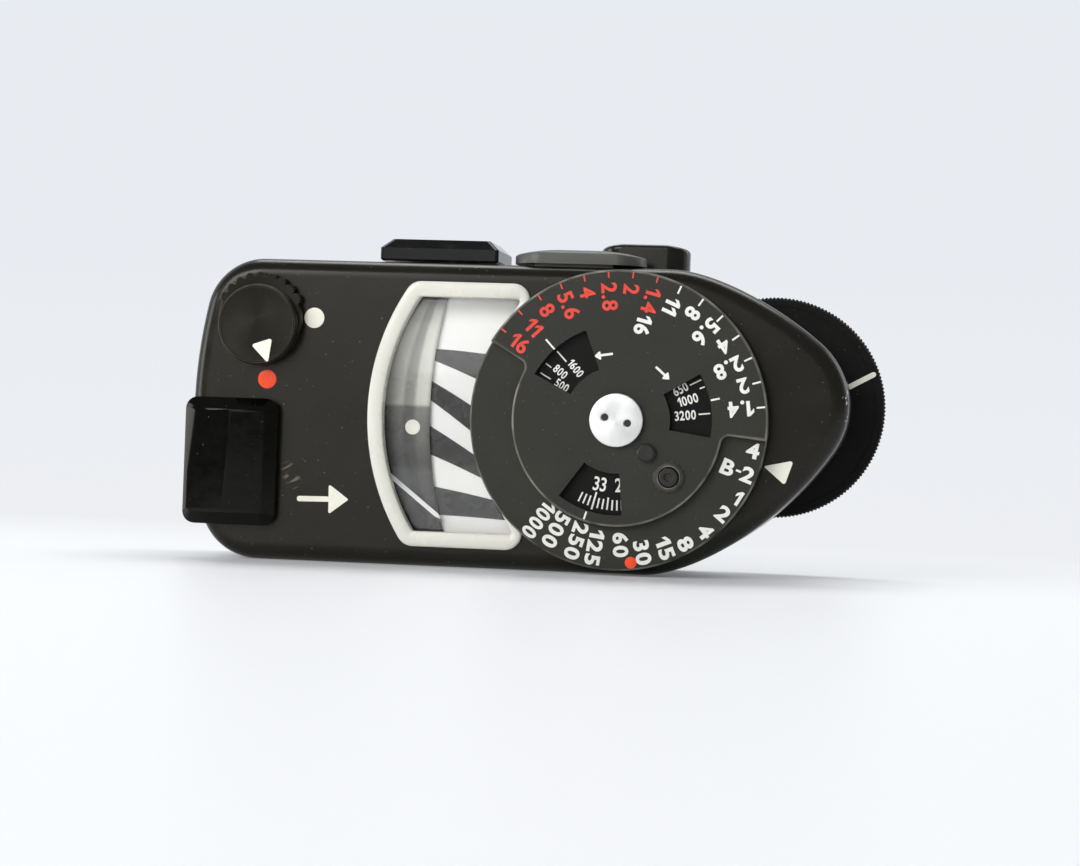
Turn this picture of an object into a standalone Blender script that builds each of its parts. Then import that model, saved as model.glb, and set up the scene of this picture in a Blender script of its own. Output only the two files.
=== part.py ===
"""Clip-on exposure meter with a shutter coupling, for a camera's accessory shoe.

Every piece is modelled as the meter sits in the shoe: x along the meter, y towards the
subject, z up, with the origin on the dial's axis at the underside of the base plate.
The empty stand_on_edge then tips the whole meter onto its long rear edge.
"""
import math

import bmesh
import bpy
from mathutils import Matrix, Vector
from mathutils.geometry import interpolate_bezier

MM = 0.001

# Clearances and shared workshop values
SEAT_GAP = 0.3 * MM
RUNNING_GAP = 0.15 * MM
OVERRUN = 0.6 * MM
MERGE = 0.001 * MM
INSET_SHARE = 0.1
FINE_STEPS = 60
ROUND_STEPS = 28
SMALL_STEPS = 16
PIN_STEPS = 10
SMOOTH_ANGLE = math.radians(32)
BEVEL_ANGLE = math.radians(40)
QUARTER_TURN = math.radians(90)

# Case, measured from the dial's axis
CASE_LEFT = 50.1 * MM
CASE_HALF_WIDTH = 17.4 * MM
CASE_HEIGHT = 17.5 * MM
CASE_WALL = 1.3 * MM
CASE_TOP_WALL = 1.3 * MM
CASE_EDGE_RADIUS = 1.9 * MM
CASE_CORNER_RADIUS = 6.8 * MM
CASE_END_RADIUS = 57 * MM
BASE_THICKNESS = 1.4 * MM
BASE_EDGE = 0.25 * MM
POST_RADIUS = 1.8 * MM

# Nose, which wraps round the coupling shaft
COUPLING_X = 16.4 * MM
COUPLING_Y = 2.4 * MM
NOSE_RADIUS = 9.2 * MM
NOSE_START_FRONT = 5 * MM
NOSE_START_REAR = 3 * MM
NOSE_FIRST_HANDLE = 5.2 * MM
NOSE_LAST_HANDLE_FRONT = 6 * MM
NOSE_LAST_HANDLE_REAR = 10.5 * MM
NOSE_ANGLE_FRONT = math.radians(50)
NOSE_ANGLE_REAR = math.radians(33)

# Scale window
WINDOW_HALF_HEIGHT = 15.15 * MM
WINDOW_LEFT = 29.1 * MM
WINDOW_LEFT_RADIUS = 26.6 * MM
WINDOW_RIGHT = 14.7 * MM
WINDOW_RIGHT_RADIUS = 21.84 * MM
WINDOW_CORNER = 1.95 * MM
WINDOW_INNER_CORNER = 0.35 * MM
BEZEL_BAND = 1.73 * MM
BEZEL_RIGHT_BAND = 1.2 * MM
BEZEL_PROUD = 0.3 * MM
BEZEL_SLEEVE = 0.7 * MM
BEZEL_SLEEVE_DEPTH = 1.3 * MM
PANE_THICKNESS = 0.7 * MM
SCALE_THICKNESS = 0.6 * MM
SCALE_DROP = 3.1 * MM
SCALE_MARGIN = 0.9 * MM
TRACK_THICKNESS = 0.25 * MM
TRACK_WIDTH = 4.7 * MM
TRACK_HALF_LENGTH = 13.4 * MM
TRACK_INSET = 0.6 * MM

# Dial stack
DIAL_RADIUS = 16.85 * MM
RING_THICKNESS = 1.5 * MM
RING_EDGE = 0.25 * MM
RING_RECESS = 0.6 * MM
FILM_PLATE_RADIUS = 11.2 * MM
FILM_PLATE_THICKNESS = 0.3 * MM
DISC_RADIUS = 11.9 * MM
DISC_THICKNESS = 0.8 * MM
DISC_STEP_FILLET = 0.9 * MM
DISC_EDGE = 0.18 * MM
STEP_SHARE = 0.3
SECTOR_START = math.radians(-6)
SECTOR_END = math.radians(150)
PORT_INNER_RADIUS = 5.85 * MM
PORT_OUTER_RADIUS = 10.5 * MM
PORT_SPANS = (
    (math.radians(111.5), math.radians(148.5)),
    (math.radians(-8.4), math.radians(30.5)),
    (math.radians(233.8), math.radians(273.5)),
)
PORT_STEPS = 12
SPINDLE_RADIUS = 1.9 * MM
SPINDLE_NOSE_RADIUS = 1.5 * MM
SPINDLE_BORE = 1.15 * MM
SPINDLE_BORE_DEPTH = 3 * MM
SPINDLE_FOOT_HEIGHT = 2.4 * MM
DIAL_BUSH_WALL = 1.1 * MM
DIAL_BUSH_FLANGE = 4.3 * MM
DIAL_BUSH_FLANGE_THICKNESS = 0.3 * MM
DIAL_BUSH_DEPTH = 2.6 * MM
SCREW_RADIUS = 3 * MM
SCREW_HEAD = 0.55 * MM
SCREW_STEM_RADIUS = 0.8 * MM
SCREW_STEM_LENGTH = 2.4 * MM
SCREW_EDGE = 0.12 * MM
PIN_HOLE_RADIUS = 0.48 * MM
PIN_HOLE_SPAN = 1.32 * MM
PIN_HOLE_DEPTH = 0.35 * MM
PIN_HOLE_ANGLE = math.radians(-13)
LOCK_PLACE = 8.63 * MM
RIVET_PLACE = 4.92 * MM
LOCK_ANGLE = math.radians(-45.4)
LOCK_BOSS_RADIUS = 1.75 * MM
LOCK_BOSS_HEIGHT = 0.45 * MM
LOCK_RADIUS = 1.05 * MM
LOCK_PROUD = 0.5 * MM
LOCK_DRAFT = 0.2 * MM
RIVET_RADIUS = 1.06 * MM
RIVET_HEIGHT = 0.4 * MM
RIVET_STEM_RADIUS = 0.45 * MM
RIVET_CROWN_SHARE = 0.7

# Coupling train
DIAL_GEAR_TEETH = 54
PINION_TEETH = 18
PRESSURE_ANGLE = math.radians(20)
TOOTH_BACKLASH = 0.12 * MM
ADDENDUM_SHARE = 0.95
DEDENDUM_SHARE = 1.25
GEAR_LEVEL = 7 * MM
GEAR_THICKNESS = 1.2 * MM
GEAR_HUB_WALL = 1.3 * MM
GEAR_HUB_HEIGHT = 0.9 * MM
PINION_OVERLAP = 0.3 * MM
SHAFT_RADIUS = 1.4 * MM
BRIDGE_LEVEL = 9.1 * MM
BRIDGE_THICKNESS = 1 * MM
BRIDGE_HALF_WIDTH = 2.9 * MM
BRIDGE_ARM_WIDTH = 2.2 * MM
BRIDGE_LEG_RADIUS = 0.9 * MM
BRIDGE_LEG_X = 8.4 * MM
BRIDGE_LEG_Y = 12.6 * MM
COUPLING_BUSH_WALL = 1.1 * MM
COUPLING_BUSH_RISE = 3.2 * MM
WHEEL_RADIUS = 13.2 * MM
WHEEL_THICKNESS = 2.6 * MM
WHEEL_TEETH = 90
KNURL_DEPTH = 0.25 * MM
WHEEL_DISH_RADIUS = 8.4 * MM
WHEEL_DISH_DEPTH = 1.1 * MM
COUPLING_PIN_RADIUS = 0.8 * MM
COUPLING_PIN_PLACE = 6 * MM
COUPLING_PIN_LENGTH = 1.5 * MM

# Shoe foot
FOOT_X = 22 * MM
FOOT_WIDTH = 18.6 * MM
FOOT_LENGTH = 17.6 * MM
FOOT_THICKNESS = 1.9 * MM
FOOT_NECK_WIDTH = 12.4 * MM
FOOT_NECK_HEIGHT = 1.5 * MM
FOOT_LEAD = 1.2 * MM
FOOT_EDGE = 0.2 * MM
FOOT_SCREW_X = 4.2 * MM
FOOT_SCREW_Y = 5.6 * MM
FOOT_SCREW_HEAD = 1.5 * MM
FOOT_SCREW_HEAD_DEPTH = 0.7 * MM
FOOT_SCREW_STEM = 0.75 * MM

# Base screws
BASE_SCREW_PLACES = (
    (-45.6 * MM, 12.3 * MM),
    (-45.6 * MM, -12.3 * MM),
    (-8.2 * MM, -13.4 * MM),
    (19.4 * MM, -4.2 * MM),
)
BASE_SCREW_HEAD = 1.5 * MM
BASE_SCREW_HEAD_DEPTH = 0.7 * MM
BASE_SCREW_STEM = 0.75 * MM
BASE_SCREW_BITE = 4 * MM
DRIVER_SLOT_WIDTH = 0.35 * MM
DRIVER_SLOT_DEPTH = 0.3 * MM

# Range knob
KNOB_X = 41.95 * MM
KNOB_Y = 9.6 * MM
KNOB_RADIUS = 4.65 * MM
KNOB_TOP = 2.6 * MM
KNOB_EDGE = 0.3 * MM
RIM_RADIUS = 4.9 * MM
RIM_TOP = 1.4 * MM
RIM_SHIFT = 0.72 * MM
SCALLOP_COUNT = 9
SCALLOP_HEIGHT = 0.5 * MM
LOBE_SHARES = (0, 0.75, 1, 0.75)
SCALLOP_FIRST = math.radians(22)
SCALLOP_LAST = math.radians(158)
KNOB_SHAFT_RADIUS = 1.2 * MM
KNOB_SHAFT_DEPTH = 5.6 * MM
WIPER_LENGTH = 2.7 * MM
WIPER_WIDTH = 0.7 * MM
WIPER_THICKNESS = 0.35 * MM
WAFER_RADIUS = 2.4 * MM
WAFER_THICKNESS = 0.8 * MM
WAFER_DROP = 4.4 * MM
WAFER_POST_WIDTH = 2.2 * MM

# Measuring key
KEY_X = 44.85 * MM
KEY_Y = 6.2 * MM
KEY_WIDTH = 10.9 * MM
KEY_LENGTH = 14.6 * MM
KEY_RIDGE_HEIGHT = 2.9 * MM
KEY_SHOULDER_HEIGHT = 2.35 * MM
KEY_SIDE_HEIGHT = 1.2 * MM
KEY_BEVEL = 1.3 * MM
KEY_CORNER = 1.1 * MM
KEY_RIDGE_SHIFT = 0.1 * MM
KEY_TRAVEL = 1.7 * MM
KEY_STEM_WIDTH = 2 * MM
KEY_STEM_LENGTH = 5 * MM
KEY_STEM_DEPTH = 3.6 * MM
KEY_SPRING_THICKNESS = 0.35 * MM
KEY_SPRING_HEIGHT = 2.4 * MM
KEY_CONTACT_WIDTH = 1.2 * MM

# Pieces on the edge that faces the subject: heights are below the top of the case
CELL_FRAME_X = 21.5 * MM
CELL_FRAME_LENGTH = 15.6 * MM
CELL_FRAME_HEIGHT = 10.4 * MM
CELL_FRAME_PROUD = 2.9 * MM
CELL_FRAME_STEP = 1.5 * MM
CELL_FRAME_CHAMFER = 1.25 * MM
CELL_FRAME_DROP = 8.6 * MM
CELL_OPENING_LENGTH = 10.4 * MM
CELL_OPENING_HEIGHT = 6 * MM
CELL_FUNNEL = 1 * MM
LENS_THICKNESS = 1 * MM
LENS_DROP = 1.1 * MM
PHOTOCELL_RADIUS = 4.5 * MM
PHOTOCELL_THICKNESS = 2.2 * MM
PHOTOCELL_LEAD_RADIUS = 0.3 * MM
PHOTOCELL_LEAD_LENGTH = 2.6 * MM
PHOTOCELL_LEAD_SPAN = 1 * MM
COVER_X = 5.7 * MM
COVER_LENGTH = 15.2 * MM
COVER_HEIGHT = 7 * MM
COVER_THICKNESS = 1.35 * MM
COVER_EDGE = 0.2 * MM
COVER_DROP = 4.8 * MM
COVER_TRAVEL = 2 * MM
COVER_PLUG_DEPTH = 1.1 * MM
COVER_GRIP_WIDTH = 0.9 * MM
COVER_GRIP_DEPTH = 0.5 * MM
BATTERY_X = 5.2 * MM
BATTERY_RADIUS = 5.8 * MM
BATTERY_THICKNESS = 5.4 * MM
BATTERY_CAP_RADIUS = 4.4 * MM
BATTERY_CAP_HEIGHT = 0.9 * MM
TRAY_WALL = 0.8 * MM
TRAY_FLOOR = 0.8 * MM
CONTACT_THICKNESS = 0.25 * MM
CONTACT_WIDTH = 3 * MM
BUTTON_X = -1.1 * MM
BUTTON_LENGTH = 10.4 * MM
BUTTON_HEIGHT = 5.8 * MM
BUTTON_PROUD = 3.5 * MM
BUTTON_EDGE = 0.8 * MM
BUTTON_DROP = 11.9 * MM
BUTTON_TRAVEL = 1 * MM
BUTTON_SINK = 1.1 * MM
BUTTON_FLANGE = 1 * MM
BUTTON_FLANGE_THICKNESS = 0.6 * MM
SPRING_WIRE = 0.16 * MM
SPRING_RADIUS = 0.8 * MM
SPRING_TURNS = 3
SPRING_LENGTH = 2.2 * MM
SPRING_STOP_WALL = 0.7 * MM
SPRING_STOP_LIP = 0.7 * MM

# Movement
PIVOT_X = 36.6 * MM
PIVOT_Y = 0.54 * MM
NEEDLE_LENGTH = 20.2 * MM
NEEDLE_WIDTH = 0.5 * MM
NEEDLE_TIP_WIDTH = 0.3 * MM
NEEDLE_THICKNESS = 0.25 * MM
NEEDLE_DROP = 2 * MM
NEEDLE_TAIL = 3.4 * MM
NEEDLE_WEIGHT_RADIUS = 0.8 * MM
NEEDLE_HUB_RADIUS = 1.1 * MM
NEEDLE_HUB_RISE = 0.05 * MM
NEEDLE_REST = math.radians(-37.9)
YOKE_RADIUS = 6 * MM
YOKE_WALL = 1.4 * MM
YOKE_HEIGHT = 6.4 * MM
CORE_RADIUS = 2.7 * MM
CORE_BORE = 1.1 * MM
CORE_ARM_WIDTH = 1.2 * MM
CORE_HEIGHT = 4.6 * MM
COIL_WIRE = 0.5 * MM
COIL_GAP = 0.45 * MM
COIL_HALF_WIDTH = 0.8 * MM
PIVOT_RADIUS = 0.5 * MM
YOKE_BRIDGE_THICKNESS = 0.9 * MM
YOKE_BRIDGE_WIDTH = 2.6 * MM
YOKE_BRIDGE_BOSS = 1.7 * MM
HAIRSPRING_TURNS = 3
HAIRSPRING_OUTER = 2.3 * MM
HAIRSPRING_INNER = 0.95 * MM
HAIRSPRING_STRIP = 0.12 * MM
HAIRSPRING_HEIGHT = 0.35 * MM

# Chassis and circuit
CHASSIS_THICKNESS = 1.2 * MM
CHASSIS_LEFT = 42.4 * MM
CHASSIS_RIGHT = 14.6 * MM
CHASSIS_HALF_WIDTH = 12.6 * MM
CHASSIS_CORNER = 2 * MM
PILLAR_RADIUS = 1.1 * MM
PILLAR_PLACES = (
    (-24.4 * MM, 11.2 * MM),
    (-24.4 * MM, -11.2 * MM),
    (-15.9 * MM, -11 * MM),
)
BOARD_LEFT = 29.6 * MM
BOARD_RIGHT = 15.6 * MM
BOARD_HALF_WIDTH = 8.8 * MM
BOARD_THICKNESS = 1 * MM
RESISTOR_RADIUS = 0.95 * MM
RESISTOR_LENGTH = 4.6 * MM
RESISTOR_PLACES = ((-26.2 * MM, -4.5 * MM), (-23.4 * MM, -4.5 * MM))
RESISTOR_LEAD_RADIUS = 0.28 * MM
RESISTOR_LEAD_LENGTH = 1.1 * MM
TRIMMER_RADIUS = 2.3 * MM
TRIMMER_HEIGHT = 2 * MM
TRIMMER_PLACE = (-19.6 * MM, 3.6 * MM)
TRIMMER_SLOT = 0.5 * MM

# Heights that several pieces share
TOP = CASE_HEIGHT
HOUSING_BOTTOM = BASE_THICKNESS + SEAT_GAP
CEILING = CASE_HEIGHT - CASE_TOP_WALL
FRONT = CASE_HALF_WIDTH
INNER_FRONT = CASE_HALF_WIDTH - CASE_WALL
BEZEL_BOTTOM = TOP + SEAT_GAP
BEZEL_TOP = BEZEL_BOTTOM + BEZEL_PROUD
RING_BOTTOM = BEZEL_TOP + SEAT_GAP
RING_TOP = RING_BOTTOM + RING_THICKNESS
DISC_BOTTOM = RING_TOP + SEAT_GAP
DISC_TOP = DISC_BOTTOM + DISC_THICKNESS
SCREW_BOTTOM = DISC_TOP + SEAT_GAP
SCREW_TOP = SCREW_BOTTOM + SCREW_HEAD
FOOT_NECK_TOP = -SEAT_GAP
FOOT_TOP = -FOOT_NECK_HEIGHT
FOOT_BOTTOM = FOOT_TOP - FOOT_THICKNESS
WHEEL_TOP = -2 * SEAT_GAP
WHEEL_BOTTOM = WHEEL_TOP - WHEEL_THICKNESS
NOSE_TIP = COUPLING_X + NOSE_RADIUS
CENTRE_DISTANCE = math.hypot(COUPLING_X, COUPLING_Y)
COUPLING_ANGLE = math.atan2(COUPLING_Y, COUPLING_X)
GEAR_MODULE = 2 * CENTRE_DISTANCE / (DIAL_GEAR_TEETH + PINION_TEETH)


def clear_scene():
    for item in list(bpy.data.objects):
        bpy.data.objects.remove(item, do_unlink=True)


# Materials

def make_material(name, colour, roughness, metallic=0.0, alpha=1.0):
    material = bpy.data.materials.new(name)
    material.use_nodes = True
    shader = material.node_tree.nodes["Principled BSDF"]
    shader.inputs["Base Color"].default_value = (*colour, 1.0)
    shader.inputs["Roughness"].default_value = roughness
    shader.inputs["Metallic"].default_value = metallic
    shader.inputs["Alpha"].default_value = alpha
    return material


def make_materials():
    return {
        "black_enamel": make_material("black_enamel", (0.018, 0.018, 0.018), 0.38, 0.3),
        "black_anodised": make_material("black_anodised", (0.024, 0.025, 0.024), 0.45, 0.5),
        "knurled_black": make_material("knurled_black", (0.020, 0.020, 0.019), 0.42, 0.5),
        "gloss_black": make_material("gloss_black", (0.006, 0.006, 0.006), 0.08),
        "cream_plastic": make_material("cream_plastic", (0.80, 0.78, 0.70), 0.4),
        "scale_white": make_material("scale_white", (0.86, 0.86, 0.84), 0.5),
        "track_grey": make_material("track_grey", (0.09, 0.10, 0.10), 0.5),
        "needle_white": make_material("needle_white", (0.85, 0.85, 0.83), 0.5),
        "clear_plastic": make_material("clear_plastic", (0.95, 0.97, 0.97), 0.03, 0.0, 0.2),
        "aluminium": make_material("aluminium", (0.74, 0.74, 0.73), 0.3, 1.0),
        "brass": make_material("brass", (0.66, 0.50, 0.22), 0.32, 1.0),
        "steel": make_material("steel", (0.50, 0.50, 0.50), 0.3, 1.0),
        "magnet_iron": make_material("magnet_iron", (0.22, 0.22, 0.23), 0.5, 0.8),
        "copper_wire": make_material("copper_wire", (0.62, 0.27, 0.14), 0.35, 1.0),
        "board_brown": make_material("board_brown", (0.28, 0.15, 0.06), 0.6),
        "resistor_ceramic": make_material("resistor_ceramic", (0.55, 0.42, 0.28), 0.6),
        "cell_glass": make_material("cell_glass", (0.90, 0.93, 0.90), 0.05, 0.0, 0.3),
        "cell_sulphide": make_material("cell_sulphide", (0.62, 0.33, 0.10), 0.5),
    }


# Mesh building

def ring_point(radius, angle, centre=(0, 0)):
    return (centre[0] + radius * math.cos(angle), centre[1] + radius * math.sin(angle))


def arc(centre, radius, start, end, steps):
    """Points along an arc, both ends included."""
    return [ring_point(radius, start + (end - start) * step / steps, centre) for step in range(steps + 1)]


def inward(points, distance):
    """A counter-clockwise outline moved towards its inside."""
    moved = []
    for index, point in enumerate(points):
        before = Vector(points[index - 1])
        here = Vector(point)
        after = Vector(points[(index + 1) % len(points)])
        first = (here - before).normalized()
        second = (after - here).normalized()
        normal = Vector((-first.y - second.y, first.x + second.x)).normalized()
        spread = max(normal.dot(Vector((-first.y, first.x))), 0.5)
        moved.append(tuple(here + normal * distance / spread))
    return moved


def rounded_box(length, height, radius, steps=5):
    """Outline of a rectangle with round corners, centred on the origin."""
    points = []
    for corner in range(4):
        sign_x = (1, -1, -1, 1)[corner]
        sign_y = (1, 1, -1, -1)[corner]
        centre = (sign_x * (length / 2 - radius), sign_y * (height / 2 - radius))
        start = corner * QUARTER_TURN
        points += arc(centre, radius, start, start + QUARTER_TURN, steps)
    return points


def prism(points, low, high, bm=None):
    """Closed prism over a flat outline."""
    bm = bm or bmesh.new()
    face = bm.faces.new([bm.verts.new((x, y, low)) for x, y in points])
    raised = bmesh.ops.extrude_face_region(bm, geom=[face])["geom"]
    top = [item for item in raised if isinstance(item, bmesh.types.BMVert)]
    bmesh.ops.translate(bm, verts=top, vec=(0, 0, high - low))
    return bm


def loft(levels, bm=None):
    """Closed solid through outlines of equal length, given as (points, height)."""
    bm = bm or bmesh.new()
    rings = [[bm.verts.new((x, y, height)) for x, y in points] for points, height in levels]
    for lower, upper in zip(rings, rings[1:]):
        for index in range(len(lower)):
            after = (index + 1) % len(lower)
            bm.faces.new((lower[index], lower[after], upper[after], upper[index]))
    bm.faces.new(rings[0][::-1])
    bm.faces.new(rings[-1])
    return bm


def turned(profile, steps=ROUND_STEPS, bm=None):
    """Solid of revolution about z, from the (radius, height) points of half its section."""
    own = bmesh.new()
    verts = [own.verts.new((radius, 0, height)) for radius, height in profile]
    edges = []
    for index, vert in enumerate(verts):
        after = (index + 1) % len(verts)
        if profile[index][0] > 0 or profile[after][0] > 0:
            edges.append(own.edges.new((vert, verts[after])))
    bmesh.ops.spin(own, geom=verts + edges, axis=(0, 0, 1), angle=4 * QUARTER_TURN, steps=steps,
                   use_merge=True)
    bmesh.ops.remove_doubles(own, verts=own.verts, dist=MERGE)
    loose = [vert for vert in own.verts if not vert.link_faces]
    bmesh.ops.delete(own, geom=loose, context="VERTS")
    return merged(bm, own)


def merged(bm, own):
    """Adds one bmesh to another and returns the result."""
    if bm is None:
        return own
    mesh = bpy.data.meshes.new("joining")
    own.to_mesh(mesh)
    own.free()
    bm.from_mesh(mesh)
    bpy.data.meshes.remove(mesh)
    return bm


def drum(radius, low, high, centre=(0, 0), top_radius=None, steps=SMALL_STEPS, bm=None):
    """Round bar or cone along z."""
    bm = bm or bmesh.new()
    place = Matrix.Translation((centre[0], centre[1], (low + high) / 2))
    end_radius = radius if top_radius is None else top_radius
    bmesh.ops.create_cone(bm, cap_ends=True, segments=steps, radius1=radius, radius2=end_radius,
                          depth=high - low, matrix=place)
    return bm


def bar(low, high, bm=None):
    """Straight block between two corners."""
    bm = bm or bmesh.new()
    size = Vector(high) - Vector(low)
    middle = (Vector(high) + Vector(low)) / 2
    place = Matrix.Translation(middle) @ Matrix.Diagonal((*size, 1))
    bmesh.ops.create_cube(bm, size=1, matrix=place)
    return bm


def facing_subject(bm, y=0):
    """Turns a solid built along +z so that it points along +y, starting at the given y."""
    bmesh.ops.rotate(bm, verts=bm.verts, matrix=Matrix.Rotation(-QUARTER_TURN, 3, "X"))
    bmesh.ops.translate(bm, verts=bm.verts, vec=(0, y, 0))
    return bm


def add_object(name, bm, parent, material=None, place=(0, 0, 0)):
    bmesh.ops.recalc_face_normals(bm, faces=bm.faces)
    mesh = bpy.data.meshes.new(name)
    bm.to_mesh(mesh)
    bm.free()
    mesh.shade_smooth()
    mesh.set_sharp_from_angle(angle=SMOOTH_ANGLE)
    if material:
        mesh.materials.append(material)
    obj = bpy.data.objects.new(name, mesh)
    bpy.context.collection.objects.link(obj)
    obj.parent = parent
    obj.location = place
    return obj


def soften(obj, width, segments=1, angle=BEVEL_ANGLE):
    bevel = obj.modifiers.new("edge", "BEVEL")
    bevel.width = width
    bevel.segments = segments
    bevel.limit_method = "ANGLE"
    bevel.angle_limit = angle
    bevel.use_clamp_overlap = True


def combine(obj, bm, kind, place=(0, 0, 0)):
    """Boolean of the object with a solid that stays in the file as a hidden guide."""
    guide = add_object(f"{obj.name}.{kind.lower()}", bm, obj.parent, None, place)
    guide.hide_render = True
    guide.display_type = "WIRE"
    step = obj.modifiers.new(kind.lower(), "BOOLEAN")
    step.operation = kind
    step.solver = "EXACT"
    step.object = guide


def cut(obj, bm, place=(0, 0, 0)):
    combine(obj, bm, "DIFFERENCE", place)


def fuse(obj, bm, place=(0, 0, 0)):
    combine(obj, bm, "UNION", place)


# Outlines

def nose_flank(start_x, side, angle, first_handle, last_handle, steps=9):
    """Curve from a straight side of the case to the round end of the nose."""
    end = Vector(ring_point(NOSE_RADIUS, side * angle, (COUPLING_X, COUPLING_Y)))
    along = Vector((math.sin(angle), -side * math.cos(angle)))
    start = Vector((start_x, side * CASE_HALF_WIDTH))
    knots = (start, start + Vector((first_handle, 0)), end - along * last_handle, end)
    return [(point.x, point.y) for point in interpolate_bezier(*[knot.to_3d() for knot in knots], steps)]


def case_outline():
    """Outline of the case, counter-clockwise from the start of the nose's front flank."""
    end_centre = -CASE_LEFT + CASE_END_RADIUS
    reach = CASE_END_RADIUS - CASE_CORNER_RADIUS
    rise = CASE_HALF_WIDTH - CASE_CORNER_RADIUS
    corner_x = end_centre - math.sqrt(reach ** 2 - rise ** 2)
    lean = math.asin(rise / reach)
    half_turn = 2 * QUARTER_TURN
    rear = nose_flank(NOSE_START_REAR, -1, NOSE_ANGLE_REAR, NOSE_FIRST_HANDLE, NOSE_LAST_HANDLE_REAR)
    front = nose_flank(NOSE_START_FRONT, 1, NOSE_ANGLE_FRONT, NOSE_FIRST_HANDLE, NOSE_LAST_HANDLE_FRONT)
    points = arc((corner_x, rise), CASE_CORNER_RADIUS, QUARTER_TURN, half_turn - lean, 7)
    points += arc((end_centre, 0), CASE_END_RADIUS, half_turn - lean, half_turn + lean, 5)[1:-1]
    points += arc((corner_x, -rise), CASE_CORNER_RADIUS, half_turn + lean, 3 * QUARTER_TURN, 7)
    points += rear
    points += arc((COUPLING_X, COUPLING_Y), NOSE_RADIUS, -NOSE_ANGLE_REAR, NOSE_ANGLE_FRONT, 9)[1:-1]
    points += front[::-1]
    return points


def window_outline(inset, right_inset):
    """Outline of the scale window: the left end bulges outwards, the right one curves with the dial."""
    corner = max(WINDOW_CORNER - inset, WINDOW_INNER_CORNER)
    level = WINDOW_HALF_HEIGHT - inset - corner
    left_centre = -WINDOW_LEFT + WINDOW_LEFT_RADIUS
    left_radius = WINDOW_LEFT_RADIUS - inset
    right_centre = -WINDOW_RIGHT + WINDOW_RIGHT_RADIUS
    right_radius = WINDOW_RIGHT_RADIUS + right_inset
    left_lean = math.asin(level / (left_radius - corner))
    right_lean = math.asin(level / (right_radius + corner))
    left_x = left_centre - (left_radius - corner) * math.cos(left_lean)
    right_x = right_centre - (right_radius + corner) * math.cos(right_lean)
    half_turn = 2 * QUARTER_TURN
    points = arc((left_x, level), corner, QUARTER_TURN, half_turn - left_lean, 4)
    points += arc((left_centre, 0), left_radius, half_turn - left_lean, half_turn + left_lean, 12)[1:-1]
    points += arc((left_x, -level), corner, half_turn + left_lean, 3 * QUARTER_TURN, 4)
    points += arc((right_x, -level), corner, -QUARTER_TURN, right_lean, 5)
    points += arc((right_centre, 0), right_radius, half_turn + right_lean, half_turn - right_lean, 12)[1:-1]
    points += arc((right_x, level), corner, -right_lean, QUARTER_TURN, 5)
    return points


def involute(angle):
    return math.tan(angle) - angle


def gear_outline(teeth, phase):
    """Involute gear outline with one tooth centred on the phase angle."""
    pitch_radius = GEAR_MODULE * teeth / 2
    base_radius = pitch_radius * math.cos(PRESSURE_ANGLE)
    tip_radius = pitch_radius + ADDENDUM_SHARE * GEAR_MODULE
    root_radius = pitch_radius - DEDENDUM_SHARE * GEAR_MODULE
    half_tooth = math.pi / (2 * teeth) - TOOTH_BACKLASH / (4 * pitch_radius)
    flank_start = max(base_radius, root_radius)
    flank = []
    for radius in (flank_start, (flank_start + tip_radius) / 2, tip_radius):
        roll = involute(math.acos(min(base_radius / radius, 1)))
        flank.append((radius, half_tooth + involute(PRESSURE_ANGLE) - roll))
    if base_radius > root_radius:
        flank.insert(0, (root_radius, flank[0][1]))
    points = []
    for tooth in range(teeth):
        middle = phase + 2 * math.pi * tooth / teeth
        points += [ring_point(radius, middle - offset) for radius, offset in flank]
        points += [ring_point(radius, middle + offset) for radius, offset in reversed(flank)]
    return points


# Case pieces

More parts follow.
